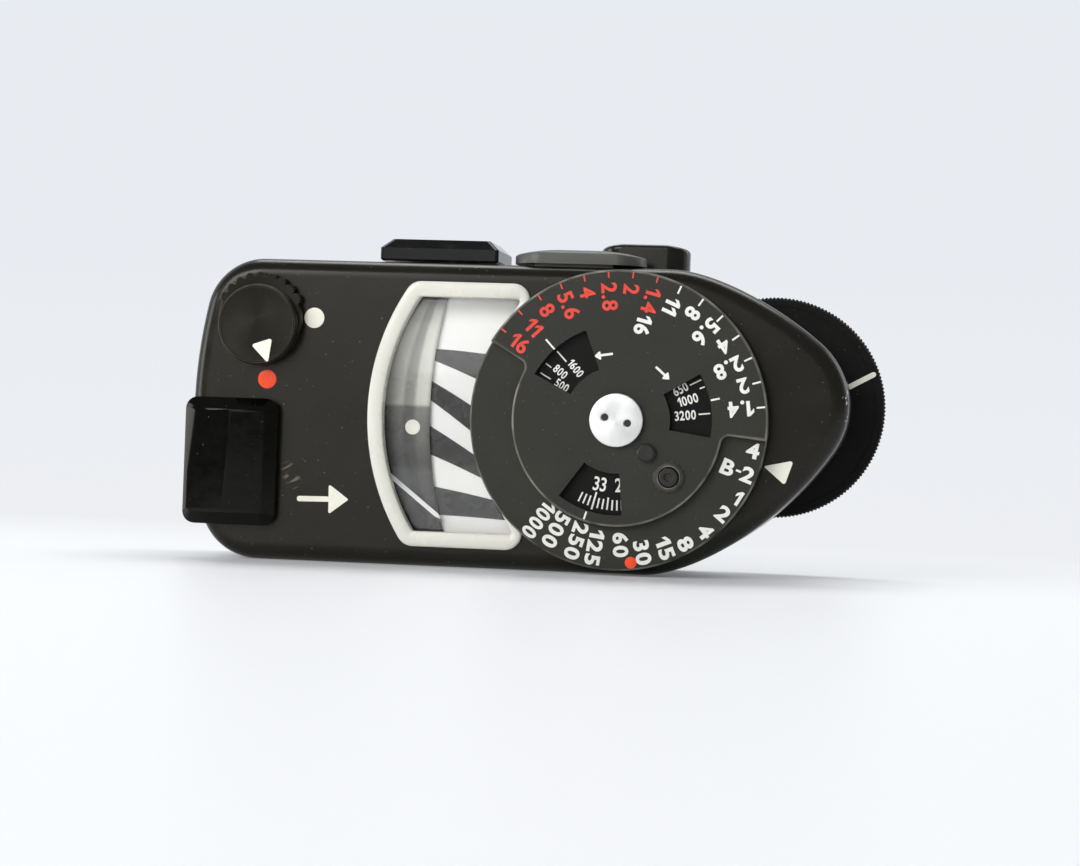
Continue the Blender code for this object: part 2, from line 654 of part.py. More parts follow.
def add_housing(parent, material):
    """Top housing: bullet-shaped shell with its window, bores and edge openings."""
    outline = case_outline()
    housing = add_object("top_housing", prism(outline, HOUSING_BOTTOM, TOP), parent, material)
    bevel = housing.modifiers.new("top_edge", "BEVEL")
    bevel.width = CASE_EDGE_RADIUS
    bevel.segments = 4
    bevel.limit_method = "WEIGHT"
    weights = housing.data.attributes.new("bevel_weight_edge", "FLOAT", "EDGE")
    for edge in housing.data.edges:
        ends = [housing.data.vertices[index].co.z for index in edge.vertices]
        weights.data[edge.index].value = 1.0 if min(ends) > (HOUSING_BOTTOM + TOP) / 2 else 0.0
    cut(housing, prism(inward(outline, CASE_WALL), HOUSING_BOTTOM - OVERRUN, CEILING))
    posts = bmesh.new()
    for place in BASE_SCREW_PLACES:
        drum(POST_RADIUS, HOUSING_BOTTOM, CEILING + CASE_TOP_WALL / 2, place, bm=posts)
    fuse(housing, posts)
    holes = bmesh.new()
    bite = HOUSING_BOTTOM + BASE_SCREW_BITE
    for place in BASE_SCREW_PLACES:
        drum(BASE_SCREW_STEM + SEAT_GAP, HOUSING_BOTTOM - OVERRUN, bite, place, bm=holes)
    bush_radius = SPINDLE_RADIUS + RUNNING_GAP + DIAL_BUSH_WALL + SEAT_GAP
    drum(bush_radius, CEILING - OVERRUN, TOP + OVERRUN, bm=holes)
    drum(KNOB_SHAFT_RADIUS + RUNNING_GAP, CEILING - OVERRUN, TOP + OVERRUN, (-KNOB_X, KNOB_Y), bm=holes)
    stem_half = KEY_STEM_LENGTH / 2 + SEAT_GAP
    bar((-KEY_X - KEY_STEM_WIDTH / 2 - SEAT_GAP, -KEY_Y - stem_half, CEILING - OVERRUN),
        (-KEY_X + KEY_STEM_WIDTH / 2 + KEY_TRAVEL + SEAT_GAP, -KEY_Y + stem_half, TOP + OVERRUN), bm=holes)
    cut(housing, holes)
    window = window_outline(BEZEL_BAND - BEZEL_SLEEVE - SEAT_GAP, BEZEL_RIGHT_BAND - BEZEL_SLEEVE - SEAT_GAP)
    cut(housing, prism(window, CEILING - OVERRUN, TOP + OVERRUN))
    edge_holes = bmesh.new()
    middle = INNER_FRONT - OVERRUN
    outside = FRONT + OVERRUN
    bar((-CELL_FRAME_X - CELL_OPENING_LENGTH / 2, middle, TOP - CELL_FRAME_DROP - CELL_OPENING_HEIGHT / 2),
        (-CELL_FRAME_X + CELL_OPENING_LENGTH / 2, outside, TOP - CELL_FRAME_DROP + CELL_OPENING_HEIGHT / 2),
        bm=edge_holes)
    cell_low, cell_high = battery_levels()
    bar((-BATTERY_X - BATTERY_RADIUS - SEAT_GAP, middle, cell_low - SEAT_GAP),
        (-BATTERY_X + BATTERY_RADIUS + SEAT_GAP, outside, cell_high + SEAT_GAP / 2), bm=edge_holes)
    cut(housing, edge_holes)
    button_hole = rounded_box(BUTTON_LENGTH + 2 * SEAT_GAP, BUTTON_HEIGHT + 2 * SEAT_GAP, BUTTON_HEIGHT / 2)
    cut(housing, facing_subject(prism(button_hole, 0, CASE_WALL + 2 * OVERRUN), middle),
        (-BUTTON_X, 0, TOP - BUTTON_DROP))
    return housing


def add_base_plate(parent, material):
    base = add_object("base_plate", prism(case_outline(), 0, BASE_THICKNESS), parent, material)
    soften(base, BASE_EDGE)
    holes = bmesh.new()
    for place in BASE_SCREW_PLACES:
        drum(BASE_SCREW_STEM + SEAT_GAP, -OVERRUN, BASE_THICKNESS + OVERRUN, place, bm=holes)
    for place in foot_screw_places():
        drum(FOOT_SCREW_STEM + SEAT_GAP, -OVERRUN, BASE_THICKNESS + OVERRUN, place, bm=holes)
    bush_radius = SHAFT_RADIUS + RUNNING_GAP + COUPLING_BUSH_WALL + SEAT_GAP
    drum(bush_radius, -OVERRUN, BASE_THICKNESS + OVERRUN, (COUPLING_X, COUPLING_Y), bm=holes)
    cut(base, holes)
    sinks = bmesh.new()
    for place in BASE_SCREW_PLACES:
        drum(BASE_SCREW_HEAD + SEAT_GAP, -OVERRUN, BASE_SCREW_HEAD_DEPTH + SEAT_GAP, place, bm=sinks)
    cut(base, sinks)


def foot_screw_places():
    sides = (-1, 1)
    return [(-FOOT_X + across * FOOT_SCREW_X, along * FOOT_SCREW_Y) for across in sides for along in sides]


def add_foot(parent, material):
    """Shoe foot: a neck that stands on the base plate and a wider plate with chamfered lead-ins."""
    half = FOOT_WIDTH / 2
    length = FOOT_LENGTH / 2
    lead = FOOT_LEAD
    outline = [(half - lead, length), (lead - half, length), (-half, length - lead), (-half, lead - length),
               (lead - half, -length), (half - lead, -length), (half, lead - length), (half, length - lead)]
    foot = add_object("shoe_foot", prism(outline, FOOT_BOTTOM, FOOT_TOP), parent, material, (-FOOT_X, 0, 0))
    soften(foot, FOOT_EDGE)
    neck = bar((-FOOT_NECK_WIDTH / 2, -length + lead, FOOT_TOP - FOOT_THICKNESS / 2),
               (FOOT_NECK_WIDTH / 2, length - lead, FOOT_NECK_TOP))
    fuse(foot, neck, (-FOOT_X, 0, 0))
    holes = bmesh.new()
    for place in foot_screw_places():
        drum(FOOT_SCREW_STEM + SEAT_GAP, FOOT_BOTTOM - OVERRUN, OVERRUN, place, bm=holes)
    cut(foot, holes)
    sinks = bmesh.new()
    for place in foot_screw_places():
        drum(FOOT_SCREW_HEAD + SEAT_GAP, FOOT_BOTTOM - OVERRUN,
             FOOT_BOTTOM + FOOT_SCREW_HEAD_DEPTH + SEAT_GAP, place, bm=sinks)
    cut(foot, sinks)


def add_slotted_screw(name, parent, material, place, head, head_depth, stem, length, low=0):
    """Flat-head screw that points up from the given height."""
    profile = [(0, 0), (head, 0), (head, head_depth), (stem, head_depth), (stem, length), (0, length)]
    screw = add_object(name, turned(profile, PIN_STEPS), parent, material, (*place, low))
    half_slot = DRIVER_SLOT_WIDTH / 2
    slot = bar((-head - OVERRUN, -half_slot, -OVERRUN), (head + OVERRUN, half_slot, DRIVER_SLOT_DEPTH))
    cut(screw, slot, (*place, low))


def add_screws(parent, material):
    base_length = BASE_THICKNESS + BASE_SCREW_BITE
    for number, place in enumerate(BASE_SCREW_PLACES, 1):
        add_slotted_screw(f"base_screw_{number}", parent, material, place, BASE_SCREW_HEAD,
                          BASE_SCREW_HEAD_DEPTH, BASE_SCREW_STEM, base_length)
    foot_length = BASE_THICKNESS - FOOT_BOTTOM
    for number, place in enumerate(foot_screw_places(), 1):
        add_slotted_screw(f"foot_screw_{number}", parent, material, place, FOOT_SCREW_HEAD,
                          FOOT_SCREW_HEAD_DEPTH, FOOT_SCREW_STEM, foot_length, FOOT_BOTTOM)


# Scale window

def add_window(parent, materials):
    """Bezel with a sleeve that drops into the case, clear pane, scale plate and needle track."""
    sleeve_low = BEZEL_BOTTOM - BEZEL_SLEEVE_DEPTH
    bezel = add_object("window_bezel", prism(window_outline(0, 0), BEZEL_BOTTOM, BEZEL_TOP), parent,
                       materials["cream_plastic"])
    sleeve = window_outline(BEZEL_BAND - BEZEL_SLEEVE, BEZEL_RIGHT_BAND - BEZEL_SLEEVE)
    fuse(bezel, prism(sleeve, sleeve_low, BEZEL_BOTTOM + BEZEL_PROUD / 2))
    opening = window_outline(BEZEL_BAND, BEZEL_RIGHT_BAND)
    cut(bezel, prism(opening, sleeve_low - OVERRUN, BEZEL_TOP + OVERRUN))
    pane_top = TOP - SEAT_GAP
    pane = window_outline(BEZEL_BAND + SEAT_GAP, BEZEL_RIGHT_BAND + SEAT_GAP)
    add_object("window_pane", prism(pane, pane_top - PANE_THICKNESS, pane_top), parent,
               materials["clear_plastic"])
    scale_top = TOP - SCALE_DROP
    plate = window_outline(SCALE_MARGIN, BEZEL_RIGHT_BAND)
    add_object("scale_plate", prism(plate, scale_top - SCALE_THICKNESS, scale_top), parent,
               materials["scale_white"])
    track_low = scale_top + SEAT_GAP
    left_centre = -WINDOW_LEFT + WINDOW_LEFT_RADIUS
    outer = WINDOW_LEFT_RADIUS - BEZEL_BAND + TRACK_INSET
    lean = math.asin(TRACK_HALF_LENGTH / outer)
    half_turn = 2 * QUARTER_TURN
    track = arc((left_centre, 0), outer, half_turn - lean, half_turn + lean, 16)
    inner_lean = math.asin(TRACK_HALF_LENGTH / (outer + TRACK_WIDTH))
    track += arc((left_centre + 2 * TRACK_WIDTH, 0), outer + TRACK_WIDTH, half_turn + inner_lean,
                 half_turn - inner_lean, 16)
    add_object("needle_track", prism(track, track_low, track_low + TRACK_THICKNESS), parent,
               materials["track_grey"])


# Dial

def sector_outline():
    """Aperture disc: full radius over the scale sector, smaller elsewhere, with round steps."""
    fillet = DISC_STEP_FILLET
    points = arc((0, 0), DIAL_RADIUS, SECTOR_START, SECTOR_END, FINE_STEPS // 2)
    turn = 2 * math.pi
    shift = fillet / DISC_RADIUS
    start = SECTOR_END
    end = SECTOR_START + turn
    points.append(ring_point(DISC_RADIUS + fillet, start))
    points.append(ring_point(DISC_RADIUS + fillet * STEP_SHARE, start + shift * STEP_SHARE))
    points += arc((0, 0), DISC_RADIUS, start + shift, end - shift, FINE_STEPS // 2)
    points.append(ring_point(DISC_RADIUS + fillet * STEP_SHARE, end - shift * STEP_SHARE))
    points.append(ring_point(DISC_RADIUS + fillet, end))
    return points


def port_outline(span):
    inner = arc((0, 0), PORT_INNER_RADIUS, span[1], span[0], PORT_STEPS)
    return arc((0, 0), PORT_OUTER_RADIUS, span[0], span[1], PORT_STEPS) + inner


def add_dial(parent, materials):
    """Shutter ring with its spindle and gear, the film plate, and the aperture disc on top."""
    bush_outer = SPINDLE_RADIUS + RUNNING_GAP + DIAL_BUSH_WALL
    bush_inner = SPINDLE_RADIUS + RUNNING_GAP
    flange_low = TOP + SEAT_GAP
    flange_high = flange_low + DIAL_BUSH_FLANGE_THICKNESS
    bush_low = TOP - DIAL_BUSH_DEPTH
    bush = [(bush_inner, bush_low), (bush_outer, bush_low), (bush_outer, flange_low),
            (DIAL_BUSH_FLANGE, flange_low), (DIAL_BUSH_FLANGE, flange_high), (bush_inner, flange_high)]
    add_object("dial_bush", turned(bush, SMALL_STEPS), parent, materials["brass"])

    bore = SPINDLE_RADIUS + SEAT_GAP
    recess = FILM_PLATE_RADIUS + SEAT_GAP
    edge = DIAL_RADIUS - RING_EDGE
    floor = RING_TOP - RING_RECESS
    ring = [(bore, RING_BOTTOM), (edge, RING_BOTTOM), (DIAL_RADIUS, RING_BOTTOM + RING_EDGE),
            (DIAL_RADIUS, RING_TOP - RING_EDGE), (edge, RING_TOP), (recess, RING_TOP), (recess, floor),
            (bore, floor)]
    add_object("shutter_ring", turned(ring, FINE_STEPS), parent, materials["black_anodised"])
    plate_low = floor + SEAT_GAP
    plate = [(bore, plate_low), (FILM_PLATE_RADIUS, plate_low),
             (FILM_PLATE_RADIUS, plate_low + FILM_PLATE_THICKNESS), (bore, plate_low + FILM_PLATE_THICKNESS)]
    add_object("film_speed_plate", turned(plate, ROUND_STEPS), parent, materials["black_anodised"])

    spindle_low = HOUSING_BOTTOM + SPINDLE_FOOT_HEIGHT
    spindle = [(0, spindle_low), (SPINDLE_RADIUS, spindle_low), (SPINDLE_RADIUS, DISC_BOTTOM - SEAT_GAP / 2),
               (SPINDLE_NOSE_RADIUS, DISC_BOTTOM - SEAT_GAP / 2), (SPINDLE_NOSE_RADIUS, DISC_TOP),
               (SPINDLE_BORE, DISC_TOP), (SPINDLE_BORE, DISC_TOP - SPINDLE_BORE_DEPTH),
               (0, DISC_TOP - SPINDLE_BORE_DEPTH)]
    add_object("dial_spindle", turned(spindle, SMALL_STEPS), parent, materials["steel"])
    foot_high = spindle_low + SPINDLE_FOOT_HEIGHT / 2
    foot = [(0, HOUSING_BOTTOM), (bush_outer + SEAT_GAP, HOUSING_BOTTOM), (bush_outer, foot_high),
            (bush_inner, foot_high), (bush_inner, spindle_low - SEAT_GAP), (0, spindle_low - SEAT_GAP)]
    add_object("spindle_bearing", turned(foot, SMALL_STEPS), parent, materials["brass"])

    gear = add_object("dial_gear", prism(gear_outline(DIAL_GEAR_TEETH, COUPLING_ANGLE), GEAR_LEVEL,
                                         GEAR_LEVEL + GEAR_THICKNESS), parent, materials["brass"])
    hub_high = GEAR_LEVEL + GEAR_THICKNESS
    hub_low = GEAR_LEVEL - GEAR_HUB_HEIGHT
    fuse(gear, drum(bore + GEAR_HUB_WALL, hub_low, hub_high - GEAR_THICKNESS / 2))
    cut(gear, drum(bore, hub_low - OVERRUN, hub_high + OVERRUN))


def lock_place(distance):
    return ring_point(distance, LOCK_ANGLE)


def add_aperture_disc(parent, materials):
    disc = add_object("aperture_disc", prism(sector_outline(), DISC_BOTTOM, DISC_TOP), parent,
                      materials["black_anodised"])
    soften(disc, DISC_EDGE)
    fuse(disc, drum(LOCK_BOSS_RADIUS, DISC_TOP - DISC_THICKNESS / 2, DISC_TOP + LOCK_BOSS_HEIGHT,
                    lock_place(LOCK_PLACE), LOCK_BOSS_RADIUS - LOCK_DRAFT, SMALL_STEPS))
    under = DISC_BOTTOM - OVERRUN
    over = DISC_TOP + OVERRUN
    holes = drum(SPINDLE_NOSE_RADIUS + RUNNING_GAP, under, over)
    for span in PORT_SPANS:
        prism(port_outline(span), under, over, holes)
    drum(LOCK_RADIUS + RUNNING_GAP, under, over + LOCK_BOSS_HEIGHT, lock_place(LOCK_PLACE), bm=holes)
    drum(RIVET_STEM_RADIUS + SEAT_GAP, under, over, lock_place(RIVET_PLACE), bm=holes)
    cut(disc, holes)

    rivet_low = DISC_TOP + SEAT_GAP
    stem_low = DISC_BOTTOM + SEAT_GAP
    rivet = [(0, stem_low), (RIVET_STEM_RADIUS, stem_low), (RIVET_STEM_RADIUS, rivet_low),
             (RIVET_RADIUS, rivet_low), (RIVET_RADIUS, rivet_low + RIVET_HEIGHT / 2),
             (RIVET_RADIUS * RIVET_CROWN_SHARE, rivet_low + RIVET_HEIGHT), (0, rivet_low + RIVET_HEIGHT)]
    add_object("disc_rivet", turned(rivet, SMALL_STEPS), parent, materials["black_anodised"],
               (*lock_place(RIVET_PLACE), 0))


def add_lock_button(parent, material):
    low = DISC_BOTTOM + LOCK_PROUD + SEAT_GAP / 3
    high = DISC_TOP + LOCK_BOSS_HEIGHT + LOCK_PROUD
    crown = LOCK_RADIUS - LOCK_DRAFT
    profile = [(0, low), (LOCK_RADIUS, low), (LOCK_RADIUS, high - LOCK_DRAFT), (crown, high), (0, high)]
    add_object("film_speed_lock", turned(profile, SMALL_STEPS), parent, material,
               (*lock_place(LOCK_PLACE), 0))


def add_centre_screw(parent, material):
    stem_low = SCREW_BOTTOM - SCREW_STEM_LENGTH
    rim = SCREW_RADIUS - SCREW_EDGE
    profile = [(0, stem_low), (SCREW_STEM_RADIUS, stem_low), (SCREW_STEM_RADIUS, SCREW_BOTTOM),
               (SCREW_RADIUS, SCREW_BOTTOM), (SCREW_RADIUS, SCREW_TOP - SCREW_EDGE), (rim, SCREW_TOP),
               (0, SCREW_TOP)]
    screw = add_object("centre_screw", turned(profile), parent, material)
    holes = bmesh.new()
    for side in (0, 2 * QUARTER_TURN):
        place = ring_point(PIN_HOLE_SPAN, PIN_HOLE_ANGLE + side)
        floor = SCREW_TOP - PIN_HOLE_DEPTH
        drum(PIN_HOLE_RADIUS, floor, SCREW_TOP + OVERRUN, place, steps=PIN_STEPS, bm=holes)
    cut(screw, holes)


# Coupling train, built about the coupling axis

def knurled_outline():
    points = []
    for tooth in range(WHEEL_TEETH):
        middle = 2 * math.pi * tooth / WHEEL_TEETH
        points.append(ring_point(WHEEL_RADIUS, middle))
        points.append(ring_point(WHEEL_RADIUS - KNURL_DEPTH, middle + math.pi / WHEEL_TEETH))
    return points


def add_coupling_wheel(parent, materials):
    """Knurled wheel under the nose, dished below, with its shaft, pinion and drive pin."""
    wheel = add_object("coupling_wheel", prism(knurled_outline(), WHEEL_BOTTOM, WHEEL_TOP), parent,
                       materials["knurled_black"])
    under = WHEEL_BOTTOM - OVERRUN
    over = WHEEL_TOP + OVERRUN
    dish = WHEEL_BOTTOM + WHEEL_DISH_DEPTH
    bores = drum(SHAFT_RADIUS + SEAT_GAP, under, over)
    drum(COUPLING_PIN_RADIUS + SEAT_GAP, under, over, (COUPLING_PIN_PLACE, 0), bm=bores)
    cut(wheel, bores)
    cut(wheel, drum(WHEEL_DISH_RADIUS, under, dish, steps=ROUND_STEPS))

    pinion_low = GEAR_LEVEL - PINION_OVERLAP
    pinion_high = GEAR_LEVEL + GEAR_THICKNESS + PINION_OVERLAP
    shaft = add_object("pinion_shaft", drum(SHAFT_RADIUS, dish, BRIDGE_LEVEL + BRIDGE_THICKNESS), parent,
                       materials["steel"])
    phase = COUPLING_ANGLE + math.pi + math.pi / PINION_TEETH
    fuse(shaft, prism(gear_outline(PINION_TEETH, phase), pinion_low, pinion_high))

    pin_low = dish - COUPLING_PIN_LENGTH
    pin = drum(COUPLING_PIN_RADIUS, pin_low, WHEEL_TOP - SEAT_GAP, (COUPLING_PIN_PLACE, 0))
    add_object("coupling_pin", pin, parent, materials["steel"])


def add_train_supports(parent, materials):
    """Bush for the coupling shaft in the base plate, and the bridge that holds both shafts."""
    inner = SHAFT_RADIUS + RUNNING_GAP
    outer = inner + COUPLING_BUSH_WALL
    high = BASE_THICKNESS + COUPLING_BUSH_RISE
    bush = [(inner, 0), (outer, 0), (outer, BASE_THICKNESS + SEAT_GAP),
            (outer + COUPLING_BUSH_WALL, BASE_THICKNESS + SEAT_GAP),
            (outer + COUPLING_BUSH_WALL, BASE_THICKNESS + SEAT_GAP + COUPLING_BUSH_WALL), (outer, high),
            (inner, high)]
    add_object("coupling_bush", turned(bush, SMALL_STEPS), parent, materials["brass"],
               (COUPLING_X, COUPLING_Y, 0))

    high = BRIDGE_LEVEL + BRIDGE_THICKNESS
    start = COUPLING_ANGLE + QUARTER_TURN
    end = COUPLING_ANGLE + 3 * QUARTER_TURN
    outline = arc((0, 0), BRIDGE_HALF_WIDTH, start, end, 9)
    outline += arc((COUPLING_X, COUPLING_Y), BRIDGE_HALF_WIDTH, end, end + 2 * QUARTER_TURN, 9)
    bridge = add_object("gear_bridge", prism(outline, BRIDGE_LEVEL, high), parent, materials["brass"])
    arm_length = 2 * BRIDGE_LEG_Y + BRIDGE_ARM_WIDTH
    arm = [(x + BRIDGE_LEG_X, y) for x, y in rounded_box(BRIDGE_ARM_WIDTH, arm_length, BRIDGE_LEG_RADIUS)]
    step = BRIDGE_THICKNESS * INSET_SHARE
    fuse(bridge, prism(arm, BRIDGE_LEVEL + step, high - step))
    legs = bmesh.new()
    for side in (-1, 1):
        place = (BRIDGE_LEG_X, side * BRIDGE_LEG_Y)
        drum(BRIDGE_LEG_RADIUS, HOUSING_BOTTOM, high - 2 * step, place, bm=legs)
    fuse(bridge, legs)
    under = BRIDGE_LEVEL - OVERRUN
    over = high + OVERRUN
    bores = drum(SPINDLE_RADIUS + RUNNING_GAP, under, over)
    drum(SHAFT_RADIUS + RUNNING_GAP, under, over, (COUPLING_X, COUPLING_Y), bm=bores)
    cut(bridge, bores)


# Range knob, built about its own axis

def scalloped_outline():
    """Thumb rim, set off the knob's axis: round, with lobes along its outer side."""
    centre = (0, RIM_SHIFT)
    pitch = (SCALLOP_LAST - SCALLOP_FIRST) / SCALLOP_COUNT
    points = []
    for step in range(SCALLOP_COUNT * len(LOBE_SHARES)):
        angle = SCALLOP_FIRST + pitch * step / len(LOBE_SHARES)
        rise = SCALLOP_HEIGHT * LOBE_SHARES[step % len(LOBE_SHARES)]
        points.append(ring_point(RIM_RADIUS + rise, angle, centre))
    points += arc(centre, RIM_RADIUS, SCALLOP_LAST, SCALLOP_FIRST + 4 * QUARTER_TURN, ROUND_STEPS // 2)[:-1]
    return points


def add_range_knob(parent, materials):
    """Knob with its thumb rim and shaft, and the wiper that the shaft carries."""
    low = TOP + SEAT_GAP
    knob_top = TOP + KNOB_TOP
    edge = KNOB_RADIUS - KNOB_EDGE
    profile = [(0, low), (KNOB_RADIUS, low), (KNOB_RADIUS, knob_top - KNOB_EDGE), (edge, knob_top),
               (0, knob_top)]
    knob = add_object("range_knob", turned(profile), parent, materials["black_anodised"])
    rim_step = RIM_TOP * INSET_SHARE
    fuse(knob, prism(scalloped_outline(), low + rim_step, TOP + RIM_TOP))
    shaft_low = TOP - KNOB_SHAFT_DEPTH
    fuse(knob, drum(KNOB_SHAFT_RADIUS, shaft_low, low + KNOB_TOP / 2))
    wiper_low = TOP - WAFER_DROP + SEAT_GAP
    wiper_high = wiper_low + WIPER_THICKNESS
    wiper = add_object("range_wiper", drum(KNOB_SHAFT_RADIUS + WIPER_WIDTH, wiper_low, wiper_high), parent,
                       materials["copper_wire"])
    inset = WIPER_THICKNESS * INSET_SHARE
    half_width = WIPER_WIDTH / 2
    fuse(wiper, bar((-WIPER_LENGTH, -half_width, wiper_low + inset), (0, half_width, wiper_high - inset)))
    cut(wiper, drum(KNOB_SHAFT_RADIUS + RUNNING_GAP, wiper_low - OVERRUN, wiper_high + OVERRUN))


def add_range_wafer(parent, material):
    """Switch wafer under the knob, hung from the ceiling of the case by its own post."""
    high = TOP - WAFER_DROP
    wafer = add_object("range_wafer", drum(WAFER_RADIUS, high - WAFER_THICKNESS, high, (-KNOB_X, KNOB_Y),
                                           steps=ROUND_STEPS), parent, material)
    post_x = -KNOB_X + WAFER_RADIUS - SEAT_GAP
    inset = WAFER_THICKNESS * INSET_SHARE
    fuse(wafer, bar((post_x, KNOB_Y - WAFER_POST_WIDTH / 2, high - WAFER_THICKNESS + inset),
                    (post_x + WAFER_POST_WIDTH / 2, KNOB_Y + WAFER_POST_WIDTH / 2, CEILING - SEAT_GAP)))
    cut(wafer, drum(KNOB_SHAFT_RADIUS + RUNNING_GAP, high - WAFER_THICKNESS - OVERRUN, high + OVERRUN,
                    (-KNOB_X, KNOB_Y)))


# Measuring key

def add_measuring_key(parent, material):
    """Key with a roof-shaped top, bevelled all round, and a stem that passes through the plate."""
    half_x = KEY_WIDTH / 2
    half_y = KEY_LENGTH / 2
    low = TOP + SEAT_GAP
    side = TOP + KEY_SIDE_HEIGHT
    outer = rounded_box(KEY_WIDTH, KEY_LENGTH, KEY_CORNER)
    inner = rounded_box(KEY_WIDTH - 2 * KEY_BEVEL, KEY_LENGTH - 2 * KEY_BEVEL, KEY_CORNER / 2)
    shoulder = TOP + KEY_SHOULDER_HEIGHT
    levels = [(outer, low), (outer, side), (inner, shoulder)]
    key = add_object("measuring_key", loft(levels), parent, material, (-KEY_X, -KEY_Y, 0))
    roof = bmesh.new()
    roof_y = half_y - KEY_BEVEL
    roof_x = half_x - KEY_BEVEL
    section = [(-roof_x, shoulder - KEY_BEVEL / 2), (roof_x, shoulder - KEY_BEVEL / 2), (roof_x, shoulder),
               (KEY_RIDGE_SHIFT, TOP + KEY_RIDGE_HEIGHT), (-roof_x, shoulder)]
    near = [roof.verts.new((x, -roof_y, z)) for x, z in section]
    far = [roof.verts.new((x, roof_y, z)) for x, z in section]
    roof.faces.new(near)
    roof.faces.new(far[::-1])
    for index in range(len(section)):
        after = (index + 1) % len(section)
        roof.faces.new((near[index], far[index], far[after], near[after]))
    fuse(key, roof, (-KEY_X, -KEY_Y, 0))
    fuse(key, bar((-KEY_STEM_WIDTH / 2, -KEY_STEM_LENGTH / 2, TOP - KEY_STEM_DEPTH),
                  (KEY_STEM_WIDTH / 2, KEY_STEM_LENGTH / 2, low + KEY_SIDE_HEIGHT / 2)), (-KEY_X, -KEY_Y, 0))


def add_key_contacts(parent, materials):
    """Leaf spring that pushes the key back, and the contact it closes: both hang from the ceiling."""
    high = CEILING - SEAT_GAP
    spring_x = -KEY_X + KEY_STEM_WIDTH / 2 + KEY_TRAVEL + SEAT_GAP
    low = TOP - KEY_STEM_DEPTH
    rear = -KEY_Y - KEY_STEM_LENGTH / 4
    front = -KEY_Y + KEY_STEM_LENGTH / 4
    contact_x = spring_x + KEY_SPRING_THICKNESS + SEAT_GAP
    spring = bar((spring_x, rear, low), (spring_x + KEY_SPRING_THICKNESS, front, high))
    add_object("key_spring", spring, parent, materials["steel"])
    contact = bar((contact_x, rear, low), (contact_x + KEY_CONTACT_WIDTH, front, high))
    add_object("key_contact", contact, parent, materials["brass"])


# Pieces on the edge that faces the subject

def add_cell_window(parent, materials):
    """Bevelled frame round the photocell's lens, with a funnel inside."""
    place = (-CELL_FRAME_X, 0, TOP - CELL_FRAME_DROP)
    base = FRONT + SEAT_GAP
    corner = CELL_FRAME_CHAMFER / 3
    narrow = CELL_FRAME_CHAMFER / 3
    full = rounded_box(CELL_FRAME_LENGTH, CELL_FRAME_HEIGHT, corner, 2)
    waist = rounded_box(CELL_FRAME_LENGTH - narrow, CELL_FRAME_HEIGHT - narrow, corner, 2)
    cut_back = 2 * CELL_FRAME_CHAMFER
    face = rounded_box(CELL_FRAME_LENGTH - cut_back, CELL_FRAME_HEIGHT - cut_back, corner, 2)
    levels = [(waist, 0), (full, narrow / 2), (full, CELL_FRAME_STEP), (face, CELL_FRAME_PROUD - SEAT_GAP)]
    frame = add_object("cell_frame", facing_subject(loft(levels), base), parent, materials["black_anodised"],
                       place)
    opening = rounded_box(CELL_OPENING_LENGTH, CELL_OPENING_HEIGHT, CELL_FRAME_CHAMFER / 3, 2)
    mouth = rounded_box(CELL_OPENING_LENGTH + CELL_FUNNEL, CELL_OPENING_HEIGHT + CELL_FUNNEL,
                        CELL_FRAME_CHAMFER / 3, 2)
    proud = CELL_FRAME_PROUD - SEAT_GAP
    funnel = loft([(opening, -OVERRUN), (opening, proud - LENS_DROP), (mouth, proud + OVERRUN)])
    cut(frame, facing_subject(funnel, base), place)
    lens_size = (CELL_OPENING_LENGTH - 2 * SEAT_GAP, CELL_OPENING_HEIGHT - 2 * SEAT_GAP)
    lens = prism(rounded_box(*lens_size, CELL_FRAME_CHAMFER / 3, 2), proud - LENS_DROP - LENS_THICKNESS,
                 proud - LENS_DROP)
    add_object("cell_lens", facing_subject(lens, base), parent, materials["cell_glass"], place)
    back = INNER_FRONT - SEAT_GAP - PHOTOCELL_THICKNESS
    cell = add_object("photocell", facing_subject(drum(PHOTOCELL_RADIUS, 0, PHOTOCELL_THICKNESS,
                                                       steps=ROUND_STEPS), back),
                      parent, materials["cell_sulphide"], place)
    leads = bmesh.new()
    for side in (-1, 1):
        drum(PHOTOCELL_LEAD_RADIUS, -PHOTOCELL_LEAD_LENGTH, PHOTOCELL_THICKNESS / 2,
             (side * PHOTOCELL_LEAD_SPAN, 0), steps=12, bm=leads)
    fuse(cell, facing_subject(leads, back), place)


def battery_levels():
    high = CEILING - SEAT_GAP - CONTACT_THICKNESS
    return high - BATTERY_THICKNESS, high


